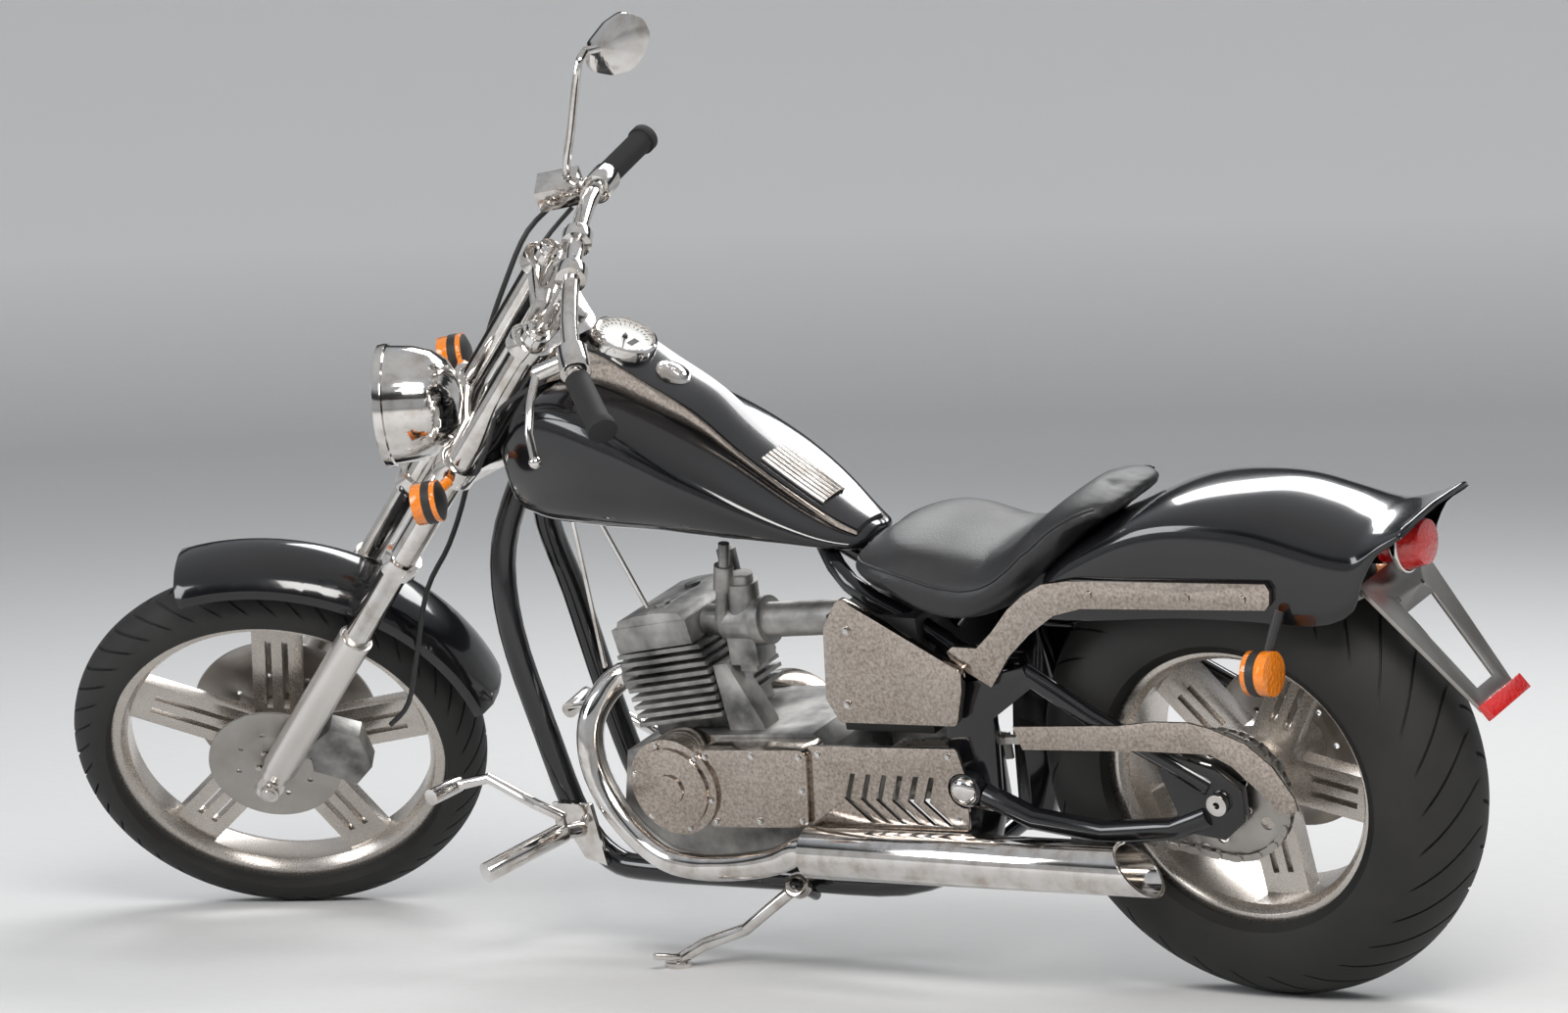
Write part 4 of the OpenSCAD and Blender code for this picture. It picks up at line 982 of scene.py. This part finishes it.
def build_signals():
    refined("front_signal_left", "amber_lens", 0.004, 30)
    refined("front_signal_right", "amber_lens", 0.004, 30)
    refined("rear_signal_left", "amber_lens", 0.004, 30)
    refined("rear_signal_right", "amber_lens", 0.004, 30)
    refined("tail_light", "red_lens", 0.003, 30)
    refined("rear_reflector", "red_lens", 0.0015, 30)
    bodies = Shape()
    for side in (-1, 1):
        at = STEERED @ Matrix.Translation(mm(1253, side * 172, 821)) @ Matrix.Rotation(math.pi / 2, 4, "Y")
        bodies.lathe([(0.0, -0.0245), (0.017, -0.0235), (0.028, -0.0185), (0.0308, -0.008), (0.0308, 0.002), (0.0296, 0.0025)], 48, at)
    bodies.piece("front_signal_shells", "black_plastic", "steering", angle=40)
    bodies = Shape()
    for side in (-1, 1):
        at = BIKE @ Matrix.Translation(mm(-121, side * 170, 532)) @ Matrix.Rotation(math.pi / 2, 4, "Y")
        bodies.lathe([(0.0, 0.0245), (0.017, 0.0235), (0.028, 0.0185), (0.0308, 0.008), (0.0308, -0.002), (0.0296, -0.0025)], 48, at)
        bodies.rod(mm(-121, side * 160, 540), mm(-136, side * 127.5, 604), 0.0076, matrix=BIKE)
    bodies.piece("rear_signal_shells", "black_plastic", "chassis", angle=40)
    hood = Shape().lathe([(0.0405, -0.004), (0.0425, 0.0), (0.0415, 0.005), (0.0392, 0.006)], 64, BIKE @ Matrix.Translation(mm(-268, 0, 658)) @ Matrix.Rotation(-math.pi / 2, 4, "Y"))
    hood.piece("tail_light_ring", "chrome", "chassis", angle=40)


# ---- Engine, exhaust and covers ----


def build_engine():
    refined("engine_block", "engine_metal", 0.003, 30)
    refined("cylinder_barrel", "engine_metal", 0.001, 30)
    refined("cylinder_head", "engine_metal", 0.003, 30)
    refined("carburettor", "engine_metal", 0.002, 30)
    refined("clutch_cover", "plate_chrome", 0.003, 30)
    refined("round_cover", "plate_chrome", 0.003, 30)
    refined("square_cover", "plate_chrome", 0.003, 30)
    refined("louvred_cover", "plate_chrome", 0.0012, 30)
    refined("side_cover_left", "plate_chrome", 0.003, 30)
    refined("side_cover_right", "plate_chrome", 0.003, 30)
    refined("exhaust_header", "chrome", 0.0, 50)
    refined("muffler", "chrome", 0.001, 40)
    bolts = Shape()
    for a in range(0, 360, 60):
        c, s = math.cos(math.radians(a + 15)), math.sin(math.radians(a + 15))
        bolts.bolt(mm(876 + 64 * c, 150, 315 + 64 * s), (0, 1, 0), 0.0042, matrix=BIKE)
    for x, z in ((815, 362), (735, 367), (655, 368), (668, 272), (740, 268), (815, 264), (660, 318)):
        bolts.bolt(mm(x, 146, z), (0, 1, 0), 0.0042, matrix=BIKE)
    for a in range(0, 360, 45):
        c, s = math.cos(math.radians(a + 10)), math.sin(math.radians(a + 10))
        bolts.bolt(mm(850 + 82 * c, -148, 290 + 82 * s), (0, -1, 0), 0.0045, matrix=BIKE)
    for x, z in ((626, 372), (412, 378), (412, 284)):
        bolts.bolt(mm(x, 140, z), (0, 1, 0), 0.0042, matrix=BIKE)
    for side in (-1, 1):
        for x, z in ((540, 560), (560, 450)):
            bolts.bolt(mm(x, side * 142, z), (0, side, 0), 0.005, matrix=BIKE)
    bolts.piece("cover_bolts", "chrome", "chassis", angle=30)


# ---- Frame, fork and controls ----

PLAIN = {
    "frame": ("black_paint", 0.0015), "swingarm": ("black_paint", 0.0015), "rear_axle": ("chrome", 0.001),
    "fender_strut_left": ("plate_chrome", 0.0015), "fender_strut_right": ("plate_chrome", 0.0015),
    "plate_bracket": ("steel", 0.001), "battery_box": ("black_plastic", 0.004), "chain_guard": ("plate_chrome", 0.001),
    "foot_control_left": ("chrome", 0.0015), "foot_control_right": ("chrome", 0.0015), "side_stand": ("chrome", 0.001),
    "fork_clamps": ("chrome", 0.002), "fork_tubes": ("chrome", 0.001), "fork_sliders": ("fork_alloy", 0.0015),
    "engine_stays": ("chrome", 0.0), "front_fender": ("black_paint", 0.001), "front_axle": ("chrome", 0.001), "brake_caliper": ("engine_metal", 0.002),
    "handlebar": ("chrome", 0.0008), "grips": ("grip_rubber", 0.001), "hand_controls": ("chrome", 0.0015),
    "control_cables": ("black_plastic", 0.0), "mirror_right": ("chrome", 0.002),
}


def build_running_gear():
    for node, (finish, bevel) in PLAIN.items():
        refined(node, finish, bevel, 32)
    nuts = Shape()
    for side in (-1, 1):
        turn = Matrix.Rotation(-side * math.pi / 2, 4, "X")
        nuts.lathe(
            [(0.0205, 0), (0.0205, 0.004), (0.018, 0.0085), (0.012, 0.012), (0, 0.0135)], 40,
            BIKE @ Matrix.Translation(mm(395, side * 138, 328)) @ turn,
        )
    nuts.piece("pivot_nuts", "chrome", "chassis", angle=40)


# ---- Stage ----


def build_stage():
    scene = bpy.context.scene
    scene.view_settings.view_transform = "Standard"
    azimuth, elevation, roll = math.radians(33.606), math.radians(5.911), math.radians(-1.7045)
    ahead = Vector((
        math.sin(azimuth) * math.cos(elevation), -math.cos(azimuth) * math.cos(elevation), -math.sin(elevation)
    ))
    right = ahead.cross(Vector((0, 0, 1))).normalized()
    up = right.cross(ahead)
    right, up = (
        math.cos(roll) * right + math.sin(roll) * up, -math.sin(roll) * right + math.cos(roll) * up
    )
    lens = bpy.data.cameras.new("camera")
    lens.lens = 136.07
    lens.sensor_width = 36
    lens.clip_end = 100
    camera = bpy.data.objects.new("camera", lens)
    camera.matrix_world = place(right, up, -ahead, Vector((-4.6537, 6.9109, 1.5157)))
    scene.collection.objects.link(camera)
    scene.camera = camera

    # Round floor with a low wall: its faces look inwards, and from outside they are clear
    floor_finish = Finish("studio floor", Roughness=0.9)
    grain = floor_finish.noise(40.0, 3.0)
    level = floor_finish.node("ShaderNodeSeparateXYZ", output=2, Vector=floor_finish.coords())
    ground = floor_finish.mix(grain, grey(0.60), grey(0.64))
    floor_finish.feed(Base_Color=floor_finish.mix(2.0 * level, ground, grey(0.94)))
    clear = floor_finish.node("ShaderNodeBsdfTransparent")
    shown = Link(floor_finish.tree, floor_finish.shader.outputs[0])
    behind = floor_finish.node("ShaderNodeNewGeometry", output=6)
    surface = floor_finish.node("ShaderNodeMixShader", _0=behind, _1=shown, _2=clear)
    join(floor_finish.tree, surface, floor_finish.tree.nodes["Material Output"].inputs["Surface"])
    line = [(3.0, 0.0), (6.0, 0.0), (8.6, 0.0)]
    for k in range(1, 13):
        a = math.pi / 2 * k / 12
        line.append((8.6 + 1.4 * math.sin(a), 1.4 - 1.4 * math.cos(a)))
    line.append((10.0, 3.2))
    sides = 128
    points = [
        (r * math.cos(math.tau * k / sides), r * math.sin(math.tau * k / sides), z) for r, z in line for k in range(sides)
    ]
    faces = [tuple(range(sides))]
    for i in range(len(line) - 1):
        for k in range(sides):
            m = (k + 1) % sides
            faces.append((i * sides + k, (i + 1) * sides + k, (i + 1) * sides + m, i * sides + m))
    mesh = bpy.data.meshes.new("studio_floor")
    mesh.from_pydata(points, [], faces)
    mesh.shade_smooth()
    mesh.materials.append(floor_finish.material)
    floor = bpy.data.objects.new("studio_floor", mesh)
    scene.collection.objects.link(floor)

    world = bpy.data.worlds.new("studio")
    scene.world = world
    world.use_nodes = True
    background = world.node_tree.nodes["Background"]
    sky = Nodes(world.node_tree)
    height = sky.node("ShaderNodeSeparateXYZ", output=2, Vector=sky.node("ShaderNodeTexCoord"))
    colour = sky.ramp(
        0.5 + 0.5 * height, (0.0, grey(0.20)), (0.62, grey(0.05)), (0.70, tint(0.06, 0.065, 0.07)),
        (0.78, tint(0.75, 0.79, 0.85)), (1.0, grey(1.0)),
    )
    join(world.node_tree, colour, background.inputs["Color"])
    background.inputs["Strength"].default_value = 0.55
    for name, at, size, power, colour in (
        ("key_light", (-3.0, 3.5, 4.2), (3.0, 2.0), 260.0, (1.0, 0.98, 0.95)),
        ("fill_light", (2.8, 4.0, 2.6), (2.0, 2.0), 90.0, (0.95, 0.97, 1.0)),
        ("rim_light", (0.5, -3.2, 3.6), (4.0, 1.2), 130.0, (1.0, 1.0, 1.0)),
    ):
        lamp = bpy.data.lights.new(name, "AREA")
        lamp.shape = "RECTANGLE"
        lamp.size, lamp.size_y = size
        lamp.energy = power
        lamp.color = colour
        lit = bpy.data.objects.new(name, lamp)
        lit.location = at
        lit.rotation_euler = (Vector((0, 0, 0.5)) - Vector(at)).to_track_quat("-Z", "Y").to_euler()
        scene.collection.objects.link(lit)


# ---- Sizes and colours ----


class CruiserSizes(bpy.types.PropertyGroup):
    """Sizes that a user would change."""

    seat_swell: bpy.props.FloatProperty(
        name="Seat swell", description="Farthest that the seat's cover stands out over its foam", default=0.008,
        min=0.0, max=0.02, unit="LENGTH",
    )
    piping: bpy.props.FloatProperty(
        name="Piping", description="Radius of the seat's piping", default=0.0022, min=0.001, max=0.005, unit="LENGTH",
    )
    rib: bpy.props.FloatProperty(
        name="Dash rib", description="Radius of the ribs on the dash", default=0.0031, min=0.001, max=0.005,
        unit="LENGTH",
    )


class CruiserColours(bpy.types.PropertyGroup):
    """Colours that a user would change."""

    paint: bpy.props.FloatVectorProperty(
        name="Paint", description="Colour of the painted bodywork", default=(0.005, 0.005, 0.006), subtype="COLOR",
        min=0.0, max=1.0,
    )
    seat: bpy.props.FloatVectorProperty(
        name="Seat", description="Colour of the seat's cover", default=(0.016, 0.016, 0.017), subtype="COLOR",
        min=0.0, max=1.0,
    )
    amber: bpy.props.FloatVectorProperty(
        name="Signals", description="Colour of the turn signals", default=(1.0, 0.27, 0.01), subtype="COLOR",
        min=0.0, max=1.0,
    )


# ---- Operators ----


class CRUISER_OT_stage(bpy.types.Operator):
    """Make the floor, the lights and the camera"""

    bl_idname = "cruiser.stage"
    bl_label = "Stage"

    def execute(self, context):
        build_stage()
        return {"FINISHED"}


class CRUISER_OT_tank(bpy.types.Operator):
    """Make the fuel tank with its dash, speedometer, filler and ribs"""

    bl_idname = "cruiser.tank"
    bl_label = "Tank and dash"

    def execute(self, context):
        build_tank()
        build_dash()
        build_speedometer()
        build_filler_cap()
        build_ribs()
        return {"FINISHED"}


class CRUISER_OT_fender(bpy.types.Operator):
    """Make the rear fender"""

    bl_idname = "cruiser.fender"
    bl_label = "Rear fender"

    def execute(self, context):
        build_rear_fender()
        return {"FINISHED"}


class CRUISER_OT_seat(bpy.types.Operator):
    """Make the padded seat with its piping"""

    bl_idname = "cruiser.seat"
    bl_label = "Seat"

    def execute(self, context):
        build_seat()
        return {"FINISHED"}


class CRUISER_OT_wheels(bpy.types.Operator):
    """Make the tyres with their tread, the rims, the discs and the chain"""

    bl_idname = "cruiser.wheels"
    bl_label = "Wheels"

    def execute(self, context):
        build_tyres()
        build_rims()
        build_chain()
        return {"FINISHED"}


class CRUISER_OT_lamps(bpy.types.Operator):
    """Make the headlight, the signals and the tail light"""

    bl_idname = "cruiser.lamps"
    bl_label = "Lamps"

    def execute(self, context):
        build_headlight()
        build_signals()
        return {"FINISHED"}


class CRUISER_OT_engine(bpy.types.Operator):
    """Make the engine, its covers and the exhaust"""

    bl_idname = "cruiser.engine"
    bl_label = "Engine"

    def execute(self, context):
        build_engine()
        return {"FINISHED"}


class CRUISER_OT_running_gear(bpy.types.Operator):
    """Make the frame, the fork, the bars and the controls"""

    bl_idname = "cruiser.running_gear"
    bl_label = "Running gear"

    def execute(self, context):
        build_running_gear()
        return {"FINISHED"}


OPERATORS = (
    CRUISER_OT_stage, CRUISER_OT_tank, CRUISER_OT_fender, CRUISER_OT_seat, CRUISER_OT_wheels, CRUISER_OT_lamps,
    CRUISER_OT_engine, CRUISER_OT_running_gear,
)


class CRUISER_PT_panel(bpy.types.Panel):
    """Lists the groups of the machine"""

    bl_idname = "CRUISER_PT_panel"
    bl_label = "Cruiser"
    bl_space_type = "VIEW_3D"
    bl_region_type = "UI"
    bl_category = "Cruiser"

    def draw(self, context):
        for group in (context.scene.cruiser_sizes, context.scene.cruiser_colours):
            for name in group.__annotations__:
                self.layout.prop(group, name)
        for kind in OPERATORS:
            self.layout.operator(kind.bl_idname)


CLASSES = (CruiserSizes, CruiserColours) + OPERATORS + (CRUISER_PT_panel,)


def register():
    for kind in CLASSES:
        bpy.utils.register_class(kind)
    bpy.types.Scene.cruiser_sizes = bpy.props.PointerProperty(type=CruiserSizes)
    bpy.types.Scene.cruiser_colours = bpy.props.PointerProperty(type=CruiserColours)


def unregister():
    del bpy.types.Scene.cruiser_colours
    del bpy.types.Scene.cruiser_sizes
    for kind in reversed(CLASSES):
        bpy.utils.unregister_class(kind)


def main():
    register()
    for kind in OPERATORS:
        getattr(bpy.ops.cruiser, kind.bl_idname.split(".")[1])()


if __name__ == "__main__":
    main()
